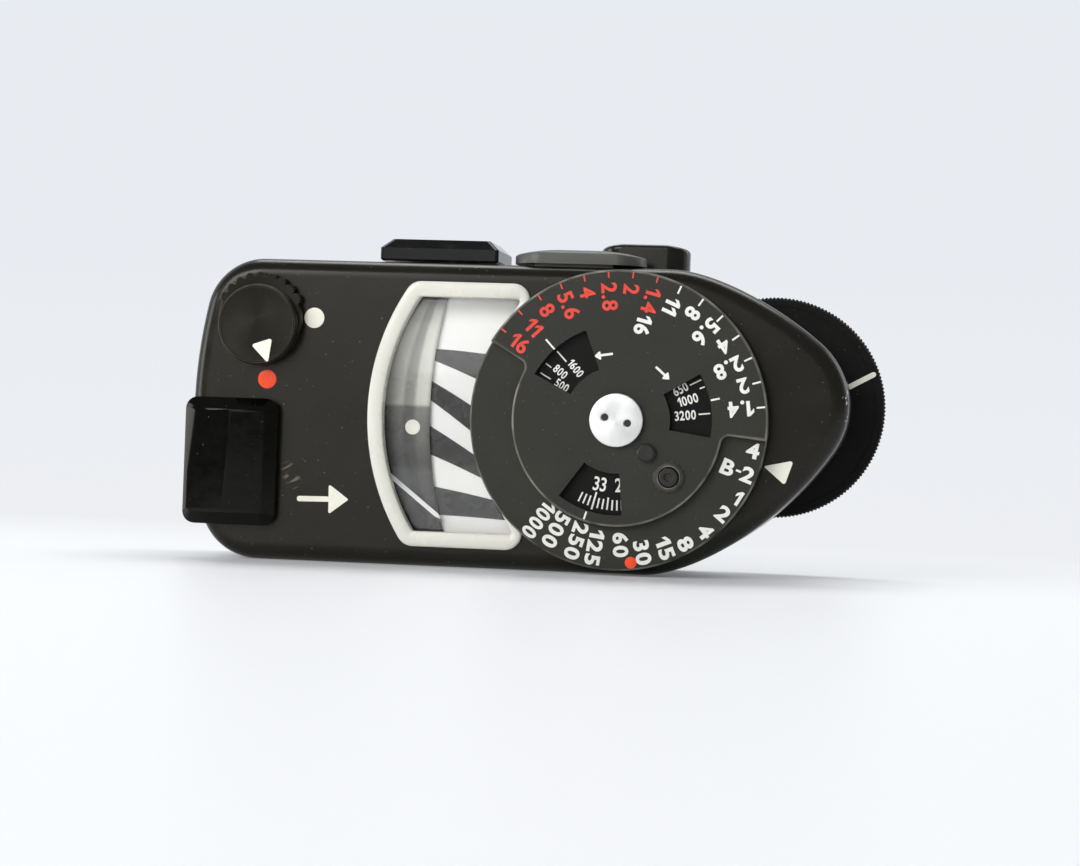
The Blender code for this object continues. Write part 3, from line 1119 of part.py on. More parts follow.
def add_battery_group(parent, materials):
    """Battery in its tray behind the cover, on the contact leaf."""
    low, high = battery_levels()
    centre = (-BATTERY_X, INNER_FRONT - SEAT_GAP - BATTERY_RADIUS)
    shoulder = low + BATTERY_CAP_HEIGHT
    can = [(0, low), (BATTERY_CAP_RADIUS, low), (BATTERY_CAP_RADIUS, shoulder), (BATTERY_RADIUS, shoulder),
           (BATTERY_RADIUS, high), (0, high)]
    add_object("battery", turned(can), parent, materials["steel"], (*centre, 0))
    leaf_low = low - SEAT_GAP - CONTACT_THICKNESS
    floor_top = leaf_low - SEAT_GAP
    floor_low = floor_top - TRAY_FLOOR
    inner = BATTERY_RADIUS + SEAT_GAP
    outer = inner + TRAY_WALL
    rim = CEILING - SEAT_GAP
    tray = add_object("battery_tray", drum(outer, floor_low, rim, steps=ROUND_STEPS), parent,
                      materials["board_brown"], (*centre, 0))
    cut(tray, drum(inner, floor_top, CEILING + OVERRUN, steps=ROUND_STEPS), (*centre, 0))
    cut(tray, bar((-outer - OVERRUN, BATTERY_RADIUS, floor_low - OVERRUN),
                  (outer + OVERRUN, outer + OVERRUN, CEILING + OVERRUN)), (*centre, 0))
    leaf = bar((-CONTACT_WIDTH / 2, -BATTERY_CAP_RADIUS, leaf_low),
               (CONTACT_WIDTH / 2, BATTERY_CAP_RADIUS, leaf_low + CONTACT_THICKNESS))
    add_object("battery_contact", leaf, parent, materials["copper_wire"], (*centre, 0))


def add_battery_cover(parent, material):
    """Crowned cover with a thumb groove and a tongue that fits the battery opening."""
    place = (-COVER_X, 0, TOP - COVER_DROP)
    base = FRONT + SEAT_GAP
    outline = rounded_box(COVER_LENGTH, COVER_HEIGHT, COVER_HEIGHT / 2 - COVER_EDGE, 8)
    shoulder = rounded_box(COVER_LENGTH - 2 * COVER_EDGE, COVER_HEIGHT - 2 * COVER_EDGE,
                           COVER_HEIGHT / 2 - 2 * COVER_EDGE, 8)
    crown = rounded_box(COVER_LENGTH - COVER_HEIGHT, COVER_HEIGHT / 2, COVER_HEIGHT / 4 - COVER_EDGE, 8)
    levels = [(outline, 0), (outline, COVER_THICKNESS), (shoulder, COVER_THICKNESS + COVER_EDGE),
              (crown, COVER_THICKNESS + 2 * COVER_EDGE)]
    cover = add_object("battery_cover", facing_subject(loft(levels), base), parent, material, place)
    low, high = battery_levels()
    tongue = bar((-BATTERY_RADIUS + SEAT_GAP, FRONT - COVER_PLUG_DEPTH, low + SEAT_GAP),
                 (BATTERY_RADIUS - COVER_TRAVEL - SEAT_GAP, base + COVER_THICKNESS / 2, high - SEAT_GAP))
    fuse(cover, tongue, (-BATTERY_X, 0, 0))
    grooves = bmesh.new()
    groove_low = base + COVER_THICKNESS + 2 * COVER_EDGE - COVER_GRIP_DEPTH
    for number in (-1, 0, 1):
        middle = number * 2 * COVER_GRIP_WIDTH
        bar((middle - COVER_GRIP_WIDTH / 2, groove_low, -COVER_HEIGHT / 4),
            (middle + COVER_GRIP_WIDTH / 2, groove_low + 2 * OVERRUN, COVER_HEIGHT / 4), bm=grooves)
    cut(cover, grooves, place)


def add_test_button(parent, material):
    """Round-edged push button that moves through its own opening in the wall."""
    place = (-BUTTON_X, 0, TOP - BUTTON_DROP)
    outline = rounded_box(BUTTON_LENGTH, BUTTON_HEIGHT, BUTTON_HEIGHT / 2 - SEAT_GAP, 8)
    low = FRONT - BUTTON_SINK
    body = facing_subject(prism(outline, 0, BUTTON_SINK + BUTTON_PROUD), low)
    button = add_object("test_button", body, parent, material, place)
    bevel = button.modifiers.new("round_edge", "BEVEL")
    bevel.width = BUTTON_EDGE
    bevel.segments = 3
    bevel.limit_method = "WEIGHT"
    weights = button.data.attributes.new("bevel_weight_edge", "FLOAT", "EDGE")
    for edge in button.data.edges:
        ends = [button.data.vertices[index].co.y for index in edge.vertices]
        weights.data[edge.index].value = 1.0 if min(ends) > FRONT else 0.0
    flange_high = INNER_FRONT - SEAT_GAP
    flange_low = flange_high - BUTTON_FLANGE_THICKNESS
    flange = rounded_box(BUTTON_LENGTH + 2 * BUTTON_FLANGE, BUTTON_HEIGHT / 2, BUTTON_HEIGHT / 5, 3)
    fuse(button, facing_subject(prism(flange, 0, BUTTON_FLANGE_THICKNESS), flange_low), place)
    neck = rounded_box(BUTTON_LENGTH / 2, BUTTON_HEIGHT / 3, BUTTON_HEIGHT / 8, 3)
    neck_low = flange_low + BUTTON_FLANGE_THICKNESS / 2
    fuse(button, facing_subject(prism(neck, 0, low + BUTTON_SINK / 2 - neck_low), neck_low), place)


def add_button_spring(parent, material):
    """Coil spring that rides behind the button's flange."""
    start = INNER_FRONT - BUTTON_FLANGE_THICKNESS - 2 * SEAT_GAP - SPRING_WIRE
    curve = bpy.data.curves.new("button_spring", "CURVE")
    curve.dimensions = "3D"
    curve.bevel_depth = SPRING_WIRE
    curve.bevel_resolution = 1
    curve.use_fill_caps = True
    count = SPRING_TURNS * 8
    spline = curve.splines.new("POLY")
    spline.points.add(count)
    for index in range(count + 1):
        x, z = ring_point(SPRING_RADIUS, 2 * math.pi * SPRING_TURNS * index / count)
        spline.points[index].co = (x, -SPRING_LENGTH * index / count, z, 1)
    curve.materials.append(material)
    spring = bpy.data.objects.new("button_spring", curve)
    bpy.context.collection.objects.link(spring)
    spring.parent = parent
    spring.location = (-BUTTON_X, start, TOP - BUTTON_DROP)


def add_spring_stop(parent, material):
    """Block with a trough that the far end of the spring slides into."""
    end = INNER_FRONT - BUTTON_FLANGE_THICKNESS - 2 * SEAT_GAP - 2 * SPRING_WIRE - SPRING_LENGTH
    floor = end - BUTTON_TRAVEL - SEAT_GAP
    half = SPRING_RADIUS + SPRING_WIRE + SEAT_GAP
    outer = half + SPRING_STOP_WALL
    back = floor - SPRING_STOP_WALL
    mouth = end + SPRING_STOP_LIP
    top = GEAR_LEVEL - SEAT_GAP
    block = bar((-outer, back, HOUSING_BOTTOM), (outer, mouth, top))
    stop = add_object("spring_stop", block, parent, material, (-BUTTON_X, 0, 0))
    trough_low = TOP - BUTTON_DROP - half
    cut(stop, bar((-half, floor, trough_low), (half, mouth + OVERRUN, top + OVERRUN)), (-BUTTON_X, 0, 0))


# Movement, built about the pivot axis

def movement_levels():
    """Heights of the lower bridge, the yoke's two faces and the core's underside."""
    bridge = HOUSING_BOTTOM + CHASSIS_THICKNESS + SEAT_GAP
    yoke_low = bridge + YOKE_BRIDGE_THICKNESS + SEAT_GAP
    yoke_high = yoke_low + YOKE_HEIGHT
    core_low = (yoke_low + yoke_high - CORE_HEIGHT) / 2
    return bridge, yoke_low, yoke_high, core_low


def add_movement(parent, materials):
    """Fixed half of the moving-coil movement: yoke ring, core with its arms, and both bridges."""
    bridge_low, yoke_low, yoke_high, core_low = movement_levels()
    bore = YOKE_RADIUS - YOKE_WALL
    yoke = [(bore, yoke_low), (YOKE_RADIUS, yoke_low), (YOKE_RADIUS, yoke_high), (bore, yoke_high)]
    add_object("movement_yoke", turned(yoke), parent, materials["magnet_iron"])
    core_high = core_low + CORE_HEIGHT
    core = add_object("movement_core", drum(CORE_RADIUS, core_low, core_high, steps=ROUND_STEPS), parent,
                      materials["magnet_iron"])
    third = CORE_HEIGHT / 3
    half_arm = CORE_ARM_WIDTH / 2
    arm_end = bore - SEAT_GAP
    fuse(core, bar((-half_arm, -arm_end, core_low + third), (half_arm, arm_end, core_high - third)))
    cut(core, drum(CORE_BORE, core_low - OVERRUN, core_high + OVERRUN))
    bridges = (("movement_lower_bridge", bridge_low), ("movement_upper_bridge", yoke_high + SEAT_GAP))
    for name, low in bridges:
        high = low + YOKE_BRIDGE_THICKNESS
        strap = rounded_box(2 * YOKE_RADIUS, YOKE_BRIDGE_WIDTH, YOKE_BRIDGE_WIDTH / 3, 3)
        bridge = add_object(name, prism(strap, low, high), parent, materials["brass"])
        step = YOKE_BRIDGE_THICKNESS * INSET_SHARE
        fuse(bridge, drum(YOKE_BRIDGE_BOSS, low + step, high - step))
        cut(bridge, drum(PIVOT_RADIUS + RUNNING_GAP, low - OVERRUN, high + OVERRUN, steps=PIN_STEPS))


def add_moving_coil(parent, materials):
    """Moving half: pivot shaft, coil frame and the balanced needle, with the needle along +x."""
    bridge_low, yoke_low, yoke_high, core_low = movement_levels()
    needle_high = TOP - NEEDLE_DROP
    needle_low = needle_high - NEEDLE_THICKNESS
    shaft_high = needle_low - NEEDLE_HUB_RISE - SEAT_GAP
    add_object("pivot_shaft", drum(PIVOT_RADIUS, bridge_low + SEAT_GAP, shaft_high, steps=PIN_STEPS), parent,
               materials["steel"])
    half = CORE_RADIUS + COIL_GAP + COIL_WIRE
    coil_low = core_low - COIL_GAP - COIL_WIRE
    coil_high = core_low + CORE_HEIGHT + COIL_GAP + COIL_WIRE
    block = bar((-half, -COIL_HALF_WIDTH, coil_low), (half, COIL_HALF_WIDTH, coil_high))
    coil = add_object("coil_frame", block, parent, materials["copper_wire"])
    inner = half - COIL_WIRE
    cut(coil, bar((-inner, -COIL_HALF_WIDTH - OVERRUN, coil_low + COIL_WIRE),
                  (inner, COIL_HALF_WIDTH + OVERRUN, coil_high - COIL_WIRE)))
    cut(coil, drum(PIVOT_RADIUS + RUNNING_GAP, coil_low - OVERRUN, coil_high + OVERRUN, steps=PIN_STEPS))
    half_root = NEEDLE_WIDTH / 2
    half_tip = NEEDLE_TIP_WIDTH / 2
    blade = [(0, -half_root), (NEEDLE_LENGTH, -half_tip), (NEEDLE_LENGTH, half_tip), (0, half_root)]
    needle = add_object("needle", prism(blade, needle_low, needle_high), parent, materials["needle_white"])
    step = NEEDLE_THICKNESS * INSET_SHARE
    fuse(needle, drum(NEEDLE_HUB_RADIUS, needle_low - NEEDLE_HUB_RISE, needle_high + NEEDLE_HUB_RISE))
    fuse(needle, bar((-NEEDLE_TAIL, -half_root, needle_low + step), (0, half_root, needle_high - step)))
    rise = NEEDLE_HUB_RISE / 2
    fuse(needle, drum(NEEDLE_WEIGHT_RADIUS, needle_low - rise, needle_high + rise, (-NEEDLE_TAIL, 0)))


def add_hairspring(parent, material):
    """Flat spiral above the upper bridge."""
    low = movement_levels()[2] + YOKE_BRIDGE_THICKNESS + 2 * SEAT_GAP
    steps = HAIRSPRING_TURNS * 16
    outer = []
    inner = []
    for step in range(steps + 1):
        share = step / steps
        radius = HAIRSPRING_INNER + (HAIRSPRING_OUTER - HAIRSPRING_INNER) * share
        angle = 2 * math.pi * HAIRSPRING_TURNS * share
        inner.append(ring_point(radius - HAIRSPRING_STRIP / 2, angle))
        outer.append(ring_point(radius + HAIRSPRING_STRIP / 2, angle))
    add_object("hairspring", prism(outer + inner[::-1], low, low + HAIRSPRING_HEIGHT), parent, material)


# Chassis and circuit

def add_chassis(parent, materials):
    low = HOUSING_BOTTOM
    high = low + CHASSIS_THICKNESS
    length = CHASSIS_LEFT - CHASSIS_RIGHT
    middle = -(CHASSIS_LEFT + CHASSIS_RIGHT) / 2
    outline = [(x + middle, y) for x, y in rounded_box(length, 2 * CHASSIS_HALF_WIDTH, CHASSIS_CORNER)]
    chassis = add_object("chassis", prism(outline, low, high), parent, materials["brass"])
    pillar_top = TOP - SCALE_DROP - SCALE_THICKNESS - SEAT_GAP
    pillars = bmesh.new()
    for place in PILLAR_PLACES:
        drum(PILLAR_RADIUS, low + CHASSIS_THICKNESS / 2, pillar_top, place, bm=pillars)
    fuse(chassis, pillars)

    board_low = high + SEAT_GAP
    board_top = board_low + BOARD_THICKNESS
    board = bar((-BOARD_LEFT, -BOARD_HALF_WIDTH, board_low), (-BOARD_RIGHT, BOARD_HALF_WIDTH, board_top))
    add_object("circuit_board", board, parent, materials["board_brown"])
    axis = board_top + SEAT_GAP + RESISTOR_RADIUS
    half_body = RESISTOR_LENGTH / 2
    half_lead = half_body + RESISTOR_LEAD_LENGTH
    for number, place in enumerate(RESISTOR_PLACES, 1):
        body = facing_subject(drum(RESISTOR_RADIUS, -half_body, half_body, steps=PIN_STEPS))
        resistor = add_object(f"resistor_{number}", body, parent, materials["resistor_ceramic"],
                              (*place, axis))
        leads = facing_subject(drum(RESISTOR_LEAD_RADIUS, -half_lead, half_lead, steps=PIN_STEPS))
        fuse(resistor, leads, (*place, axis))
    trimmer_low = board_top + SEAT_GAP
    trimmer_high = trimmer_low + TRIMMER_HEIGHT
    trimmer = add_object("trim_resistor", drum(TRIMMER_RADIUS, trimmer_low, trimmer_high), parent,
                         materials["resistor_ceramic"], (*TRIMMER_PLACE, 0))
    slot = bar((-TRIMMER_RADIUS / 2, -TRIMMER_SLOT / 2, trimmer_high - TRIMMER_SLOT),
               (TRIMMER_RADIUS / 2, TRIMMER_SLOT / 2, trimmer_high + OVERRUN))
    cut(trimmer, slot, (*TRIMMER_PLACE, 0))


# Assembly

def add_empty(name, parent=None, place=(0, 0, 0)):
    empty = bpy.data.objects.new(name, None)
    bpy.context.collection.objects.link(empty)
    empty.parent = parent
    empty.location = place
    return empty


def stand_on_edge():
    """Tips the meter onto its rear edge, with the origin under the middle of its box."""
    left = max(CASE_LEFT, KEY_X + KEY_WIDTH / 2)
    right = COUPLING_X + WHEEL_RADIUS
    back = min(FOOT_BOTTOM, WHEEL_BOTTOM + WHEEL_DISH_DEPTH - COUPLING_PIN_LENGTH)
    front = max(SCREW_TOP, DISC_TOP + LOCK_BOSS_HEIGHT + LOCK_PROUD)
    stand = add_empty("stand_on_edge", None, ((left - right) / 2, (front + back) / 2, CASE_HALF_WIDTH))
    stand.rotation_euler = (QUARTER_TURN, 0, 0)
    return stand


def build():
    clear_scene()
    materials = make_materials()
    stand = stand_on_edge()
    add_housing(stand, materials["black_enamel"])
    add_base_plate(stand, materials["black_enamel"])
    add_foot(stand, materials["black_anodised"])
    add_screws(stand, materials["steel"])
    add_window(stand, materials)
    dial_axis = add_empty("dial_axis", stand)
    add_dial(dial_axis, materials)
    add_aperture_disc(dial_axis, materials)
    add_lock_button(dial_axis, materials["black_anodised"])
    add_centre_screw(dial_axis, materials["aluminium"])
    coupling_axis = add_empty("coupling_axis", stand, (COUPLING_X, COUPLING_Y, 0))
    add_coupling_wheel(coupling_axis, materials)
    add_train_supports(stand, materials)
    knob_axis = add_empty("knob_axis", stand, (-KNOB_X, KNOB_Y, 0))
    add_range_knob(knob_axis, materials)
    add_range_wafer(stand, materials["board_brown"])
    add_measuring_key(stand, materials["gloss_black"])
    add_key_contacts(stand, materials)
    add_cell_window(stand, materials)
    add_battery_group(stand, materials)
    add_battery_cover(stand, materials["black_anodised"])
    add_test_button(stand, materials["black_enamel"])
    add_button_spring(stand, materials["steel"])
    add_spring_stop(stand, materials["brass"])
    movement = add_empty("movement_axis", stand, (-PIVOT_X, PIVOT_Y, 0))
    add_movement(movement, materials)
    add_hairspring(movement, materials["copper_wire"])
    needle_axis = add_empty("needle_axis", movement)
    needle_axis.rotation_euler = (0, 0, NEEDLE_REST)
    add_moving_coil(needle_axis, materials)
    add_chassis(stand, materials)


build()
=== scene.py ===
import math

import bmesh
import bpy
from mathutils import Matrix, Vector
from mathutils.geometry import interpolate_bezier


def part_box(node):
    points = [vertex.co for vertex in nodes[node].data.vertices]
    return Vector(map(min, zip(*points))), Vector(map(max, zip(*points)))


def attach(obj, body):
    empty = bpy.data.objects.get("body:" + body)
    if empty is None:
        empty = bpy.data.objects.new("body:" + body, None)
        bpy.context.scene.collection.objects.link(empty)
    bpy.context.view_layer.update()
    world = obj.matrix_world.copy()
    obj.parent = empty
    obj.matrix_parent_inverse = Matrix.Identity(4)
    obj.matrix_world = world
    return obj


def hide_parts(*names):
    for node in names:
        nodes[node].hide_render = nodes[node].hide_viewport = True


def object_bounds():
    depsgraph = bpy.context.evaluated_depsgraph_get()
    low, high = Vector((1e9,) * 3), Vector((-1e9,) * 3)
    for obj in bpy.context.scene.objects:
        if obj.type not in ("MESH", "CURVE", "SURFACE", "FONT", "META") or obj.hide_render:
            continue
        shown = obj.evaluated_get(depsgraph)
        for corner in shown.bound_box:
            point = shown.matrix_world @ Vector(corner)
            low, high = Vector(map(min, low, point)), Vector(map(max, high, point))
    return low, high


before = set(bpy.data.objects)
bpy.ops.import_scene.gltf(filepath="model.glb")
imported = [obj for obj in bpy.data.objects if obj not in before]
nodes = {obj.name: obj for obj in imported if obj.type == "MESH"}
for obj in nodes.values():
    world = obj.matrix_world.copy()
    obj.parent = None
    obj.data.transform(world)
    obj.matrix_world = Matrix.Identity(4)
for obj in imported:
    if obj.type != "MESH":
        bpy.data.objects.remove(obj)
cadLow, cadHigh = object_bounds()
collection = bpy.context.scene.collection
print("frame loaded with", len(nodes), "CAD nodes")

# The meter is modelled in millimetres as it sits in a shoe: x along it, y towards the subject, z up,
# from the dial's axis at the underside of the base plate. toWorld stands it on its edge.
mm = 0.001
ringLow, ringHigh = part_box("shutter_ring")
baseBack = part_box("base_plate")[1].y
dialAxis = (ringLow + ringHigh) / 2
toWorld = Matrix(((mm, 0, 0, dialAxis.x), (0, 0, -mm, baseBack), (0, mm, 0, dialAxis.z), (0, 0, 0, 1)))
quarter = math.radians(90)


# Mesh helpers, all in millimetres

def ringPoint(radius, angle, centre=(0, 0)):
    return (centre[0] + radius * math.cos(angle), centre[1] + radius * math.sin(angle))


def arc(centre, radius, start, end, steps):
    return [ringPoint(radius, start + (end - start) * step / steps, centre) for step in range(steps + 1)]


def inward(points, distance):
    # sharp corners move by twice the distance at most
    moved = []
    for index, point in enumerate(points):
        here = Vector(point)
        first = (here - Vector(points[index - 1])).normalized()
        second = (Vector(points[(index + 1) % len(points)]) - here).normalized()
        normal = Vector((-first.y - second.y, first.x + second.x)).normalized()
        spread = max(normal.dot(Vector((-first.y, first.x))), 0.5)
        moved.append(tuple(here + normal * distance / spread))
    return moved


def filleted(points, steps=4, closed=True):
    # points are (x, y, corner radius)
    out = []
    last = len(points) - 1
    for index, (x, y, radius) in enumerate(points):
        here = Vector((x, y))
        if radius == 0 or (not closed and index in (0, last)):
            out.append((x, y))
            continue
        before = Vector(points[index - 1][:2]) - here
        after = Vector(points[(index + 1) % len(points)][:2]) - here
        half = before.angle(after) / 2
        reach = min(radius / math.tan(half), before.length * 0.49, after.length * 0.49)
        centre = here + (before.normalized() + after.normalized()).normalized() * reach / math.cos(half)
        start = here + before.normalized() * reach - centre
        end = here + after.normalized() * reach - centre
        first = math.atan2(start.y, start.x)
        sweep = (math.atan2(end.y, end.x) - first + math.pi) % (2 * math.pi) - math.pi
        out += arc(centre, start.length, first, first + sweep, steps)
    return out


def roundedBox(length, height, radius, steps=6):
    half, rise = length / 2, height / 2
    corners = [(half, rise, radius), (-half, rise, radius), (-half, -rise, radius), (half, -rise, radius)]
    return filleted(corners, steps)


def neighbours(rows, ring):
    return zip(rows, rows[1:] + (rows[:1] if ring else []))


def loft(levels, bm=None, ring=False):
    # levels are (outline, height); a ring closes on itself and has no caps
    bm = bm or bmesh.new()
    rows = [[bm.verts.new((x, y, height)) for x, y in points] for points, height in levels]
    for lower, upper in neighbours(rows, ring):
        for index in range(len(lower)):
            after = (index + 1) % len(lower)
            bm.faces.new((lower[index], lower[after], upper[after], upper[index]))
    if not ring:
        bm.faces.new(rows[0][::-1])
        bm.faces.new(rows[-1])
    return bm


def prism(points, low, high, bm=None):
    return loft([(points, low), (points, high)], bm)


def turned(profile, steps=96, centre=(0, 0), bm=None, ring=False):
    # profile is (radius, height); a radius of 0 is a pole
    bm = bm or bmesh.new()
    rows = []
    for radius, height in profile:
        circle = arc(centre, radius, 0, 4 * quarter, steps)[:-1] if radius > 1e-6 else [centre]
        rows.append([bm.verts.new((x, y, height)) for x, y in circle])
    for lower, upper in neighbours(rows, ring):
        for index in range(steps if len(lower) + len(upper) > 2 else 0):
            after = (index + 1) % steps
            corners = [lower[index % len(lower)], lower[after % len(lower)],
                       upper[after % len(upper)], upper[index % len(upper)]]
            bm.faces.new(list(dict.fromkeys(corners)))
    return bm


def drums(places, radius, low, high, steps=48, bm=None):
    bm = bm or bmesh.new()
    for place in places:
        turned([(0, low), (radius, low), (radius, high), (0, high)], steps, place, bm)
    return bm


def drum(radius, low, high, place=(0, 0), steps=48, bm=None):
    return drums([place], radius, low, high, steps, bm)


def block(low, high, bm=None):
    outline = [(high[0], high[1]), (low[0], high[1]), (low[0], low[1]), (high[0], low[1])]
    return prism(outline, low[2], high[2], bm)


def placed(bm, place, degrees=0):
    bm.transform(Matrix.Translation((*place, 0)) @ Matrix.Rotation(math.radians(degrees), 4, "Z"))
    return bm


def facingSubject(bm, place):
    # turns a solid built along z so that it points along y
    bm.transform(Matrix.Translation(place) @ Matrix.Rotation(-quarter, 4, "X"))
    return bm


def newObject(name, data):
    obj = bpy.data.objects.new(name, data)
    collection.objects.link(obj)
    return obj


def meshFrom(bm, name="work"):
    bmesh.ops.recalc_face_normals(bm, faces=bm.faces)
    mesh = bpy.data.meshes.new(name)
    bm.to_mesh(mesh)
    bm.free()
    return mesh


def plainMesh(obj):
    graph = bpy.context.evaluated_depsgraph_get()
    return bpy.data.meshes.new_from_object(obj.evaluated_get(graph), preserve_all_data_layers=True, depsgraph=graph)


def editable(mesh):
    bm = bmesh.new()
    bm.from_mesh(mesh)
    bpy.data.meshes.remove(mesh)
    return bm


def discard(*objects):
    for obj in objects:
        data, kind = obj.data, obj.type
        bpy.data.objects.remove(obj)
        (bpy.data.meshes if kind == "MESH" else bpy.data.curves).remove(data)


def combined(bm, others, kind="DIFFERENCE"):
    base = newObject("work", meshFrom(bm))
    tools = [newObject("tool", meshFrom(other)) for other in others]
    for tool in tools:
        step = base.modifiers.new("step", "BOOLEAN")
        step.operation = kind
        step.solver = "EXACT"
        step.object = tool
    result = editable(plainMesh(base))
    discard(base, *tools)
    return result


def softened(bm, width, segments=3, angle=35, pick=None):
    edges = [edge for edge in bm.edges if len(edge.link_faces) == 2
             and edge.calc_face_angle(0) > math.radians(angle) and (pick is None or pick(edge))]
    bmesh.ops.bevel(bm, geom=edges, offset=width, offset_type="OFFSET", segments=segments, profile=0.5,
                    affect="EDGES", clamp_overlap=True)
    return bm


def joined(bm, *others):
    for other in others:
        mesh = meshFrom(other)
        bm.from_mesh(mesh)
        bpy.data.meshes.remove(mesh)
    return bm


# shorter edges and narrower faces than these don't count; bends over start begin the edge mark, over start + span
# give it fully
wear = {"shortest": 1e-5, "narrowest": 0.02, "start": 1.2, "span": 6, "grain": 2.4, "roughness": 0.32}


def markWearAndSheen(bm):
    # faces that turn sharply, such as small edge roundings, are the ones that rub bare; on the dial's finish this
    # edge mark is also a painted highlight along the rims
    bmesh.ops.recalc_face_normals(bm, faces=bm.faces)
    layer = bm.faces.layers.float.new("wear")
    for face in bm.faces:
        area, bend = face.calc_area(), 0
        for edge in face.edges:
            if len(edge.link_faces) == 2 and edge.calc_length() > wear["shortest"]:
                width = max(area / edge.calc_length(), wear["narrowest"])
                bend = max(bend, edge.calc_face_angle_signed(0) / width)
        face[layer] = min(max(bend - wear["start"], 0) / wear["span"], 1)


def settle(name, bm, body, finish, slot, *replaced, crease=32):
    # puts a finished solid on the meter: one plain mesh whose object stays at the origin
    markWearAndSheen(bm)
    mesh = meshFrom(bm, name)
    mesh.transform(toWorld)
    mesh.materials.clear()
    mesh.materials.append(finishes[finish])
    mesh.shade_smooth()
    mesh.set_sharp_from_angle(angle=math.radians(crease))
    piece = newObject(name, mesh)
    weigh = piece.modifiers.new("weigh", "WEIGHTED_NORMAL")
    weigh.keep_sharp = True
    weigh.weight = 90
    final = plainMesh(piece)
    piece.modifiers.clear()
    piece.data = final
    bpy.data.meshes.remove(mesh)
    final.name = name
    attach(piece, body)
    if replaced:
        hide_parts(*replaced)


# Finishes

def addNode(tree, kind, inputs=None, **settings):
    item = tree.nodes.new(kind)
    for key, value in settings.items():
        setattr(item, key, value)
    for key, value in (inputs or {}).items():
        if isinstance(value, bpy.types.NodeSocket):
            tree.links.new(value, item.inputs[key])
        else:
            item.inputs[key].default_value = value
    return item


def mixColour(tree, share, first, second, blend="MIX"):
    inputs = {0: share}
    for key, value in ((6, first), (7, second)):
        inputs[key] = value if isinstance(value, bpy.types.NodeSocket) else (*value, 1)
    return addNode(tree, "ShaderNodeMix", inputs, data_type="RGBA", blend_type=blend).outputs[2]


def mixValue(tree, share, first, second):
    return addNode(tree, "ShaderNodeMix", {0: share, 2: first, 3: second}).outputs[0]


def maths(tree, operation, first, second=0.0, clamp=False):
    return addNode(tree, "ShaderNodeMath", {0: first, 1: second}, operation=operation, use_clamp=clamp).outputs[0]


def times(tree, first, second, clamp=False):
    return maths(tree, "MULTIPLY", first, second, clamp)


def plus(tree, first, second):
    return maths(tree, "ADD", first, second)


def minus(tree, first, second):
    return maths(tree, "SUBTRACT", first, second)


def scaled(tree, where, factors):
    return addNode(tree, "ShaderNodeVectorMath", {0: where, 1: factors}, operation="MULTIPLY").outputs[0]


def lengthOf(tree, where):
    return addNode(tree, "ShaderNodeVectorMath", {0: where}, operation="LENGTH").outputs["Value"]


def between(tree, value, low, high):
    return addNode(tree, "ShaderNodeMapRange", {"Value": value, "From Min": low, "From Max": high}).outputs[0]


def attribute(tree, name):
    return addNode(tree, "ShaderNodeAttribute", attribute_name=name).outputs["Fac"]


def placedCoordinates(tree, centre=(0, 0, 0), turn=(0, 0, 0), size=(1, 1, 1)):
    where = addNode(tree, "ShaderNodeTexCoord").outputs["Object"]
    inputs = {"Vector": where, "Location": centre, "Rotation": turn, "Scale": size}
    return addNode(tree, "ShaderNodeMapping", inputs, vector_type="TEXTURE").outputs[0]


def noise(tree, where, grain, low=0.0, high=1.0, detail=3.0):
    # grain is the size of the pattern in millimetres
    inputs = {"Vector": where, "Scale": 1 / (grain * mm), "Detail": detail}
    return between(tree, addNode(tree, "ShaderNodeTexNoise", inputs).outputs["Fac"], low, high)


def newMaterial(name):
    material = bpy.data.materials.new(name)
    material.use_nodes = True
    return material, material.node_tree, material.node_tree.nodes["Principled BSDF"]


def coat(colour, shade, patch, grain, depth, roughness, **rest):
    # patch and grain are the sizes of two patterns and depth is the height of the bump, in millimetres; the edge
    # entry is the bare colour of marked edges (worn edges, on the dial also a painted highlight), its share and the
    # limits of its breaking pattern
    return {"colour": colour, "shade": shade, "patch": patch, "grain": grain, "depth": depth,
            "roughness": roughness, **rest}


# what a look may set on the shader itself, and the specks of dust on the black finishes
sockets = {"metallic": "Metallic", "specular": "Specular IOR Level", "tint": "Specular Tint",
           "subsurface": "Subsurface Weight", "reach": "Subsurface Scale"}
dust = {"grain": 0.28, "limits": (0.765, 0.80), "colour": (0.32, 0.31, 0.28)}


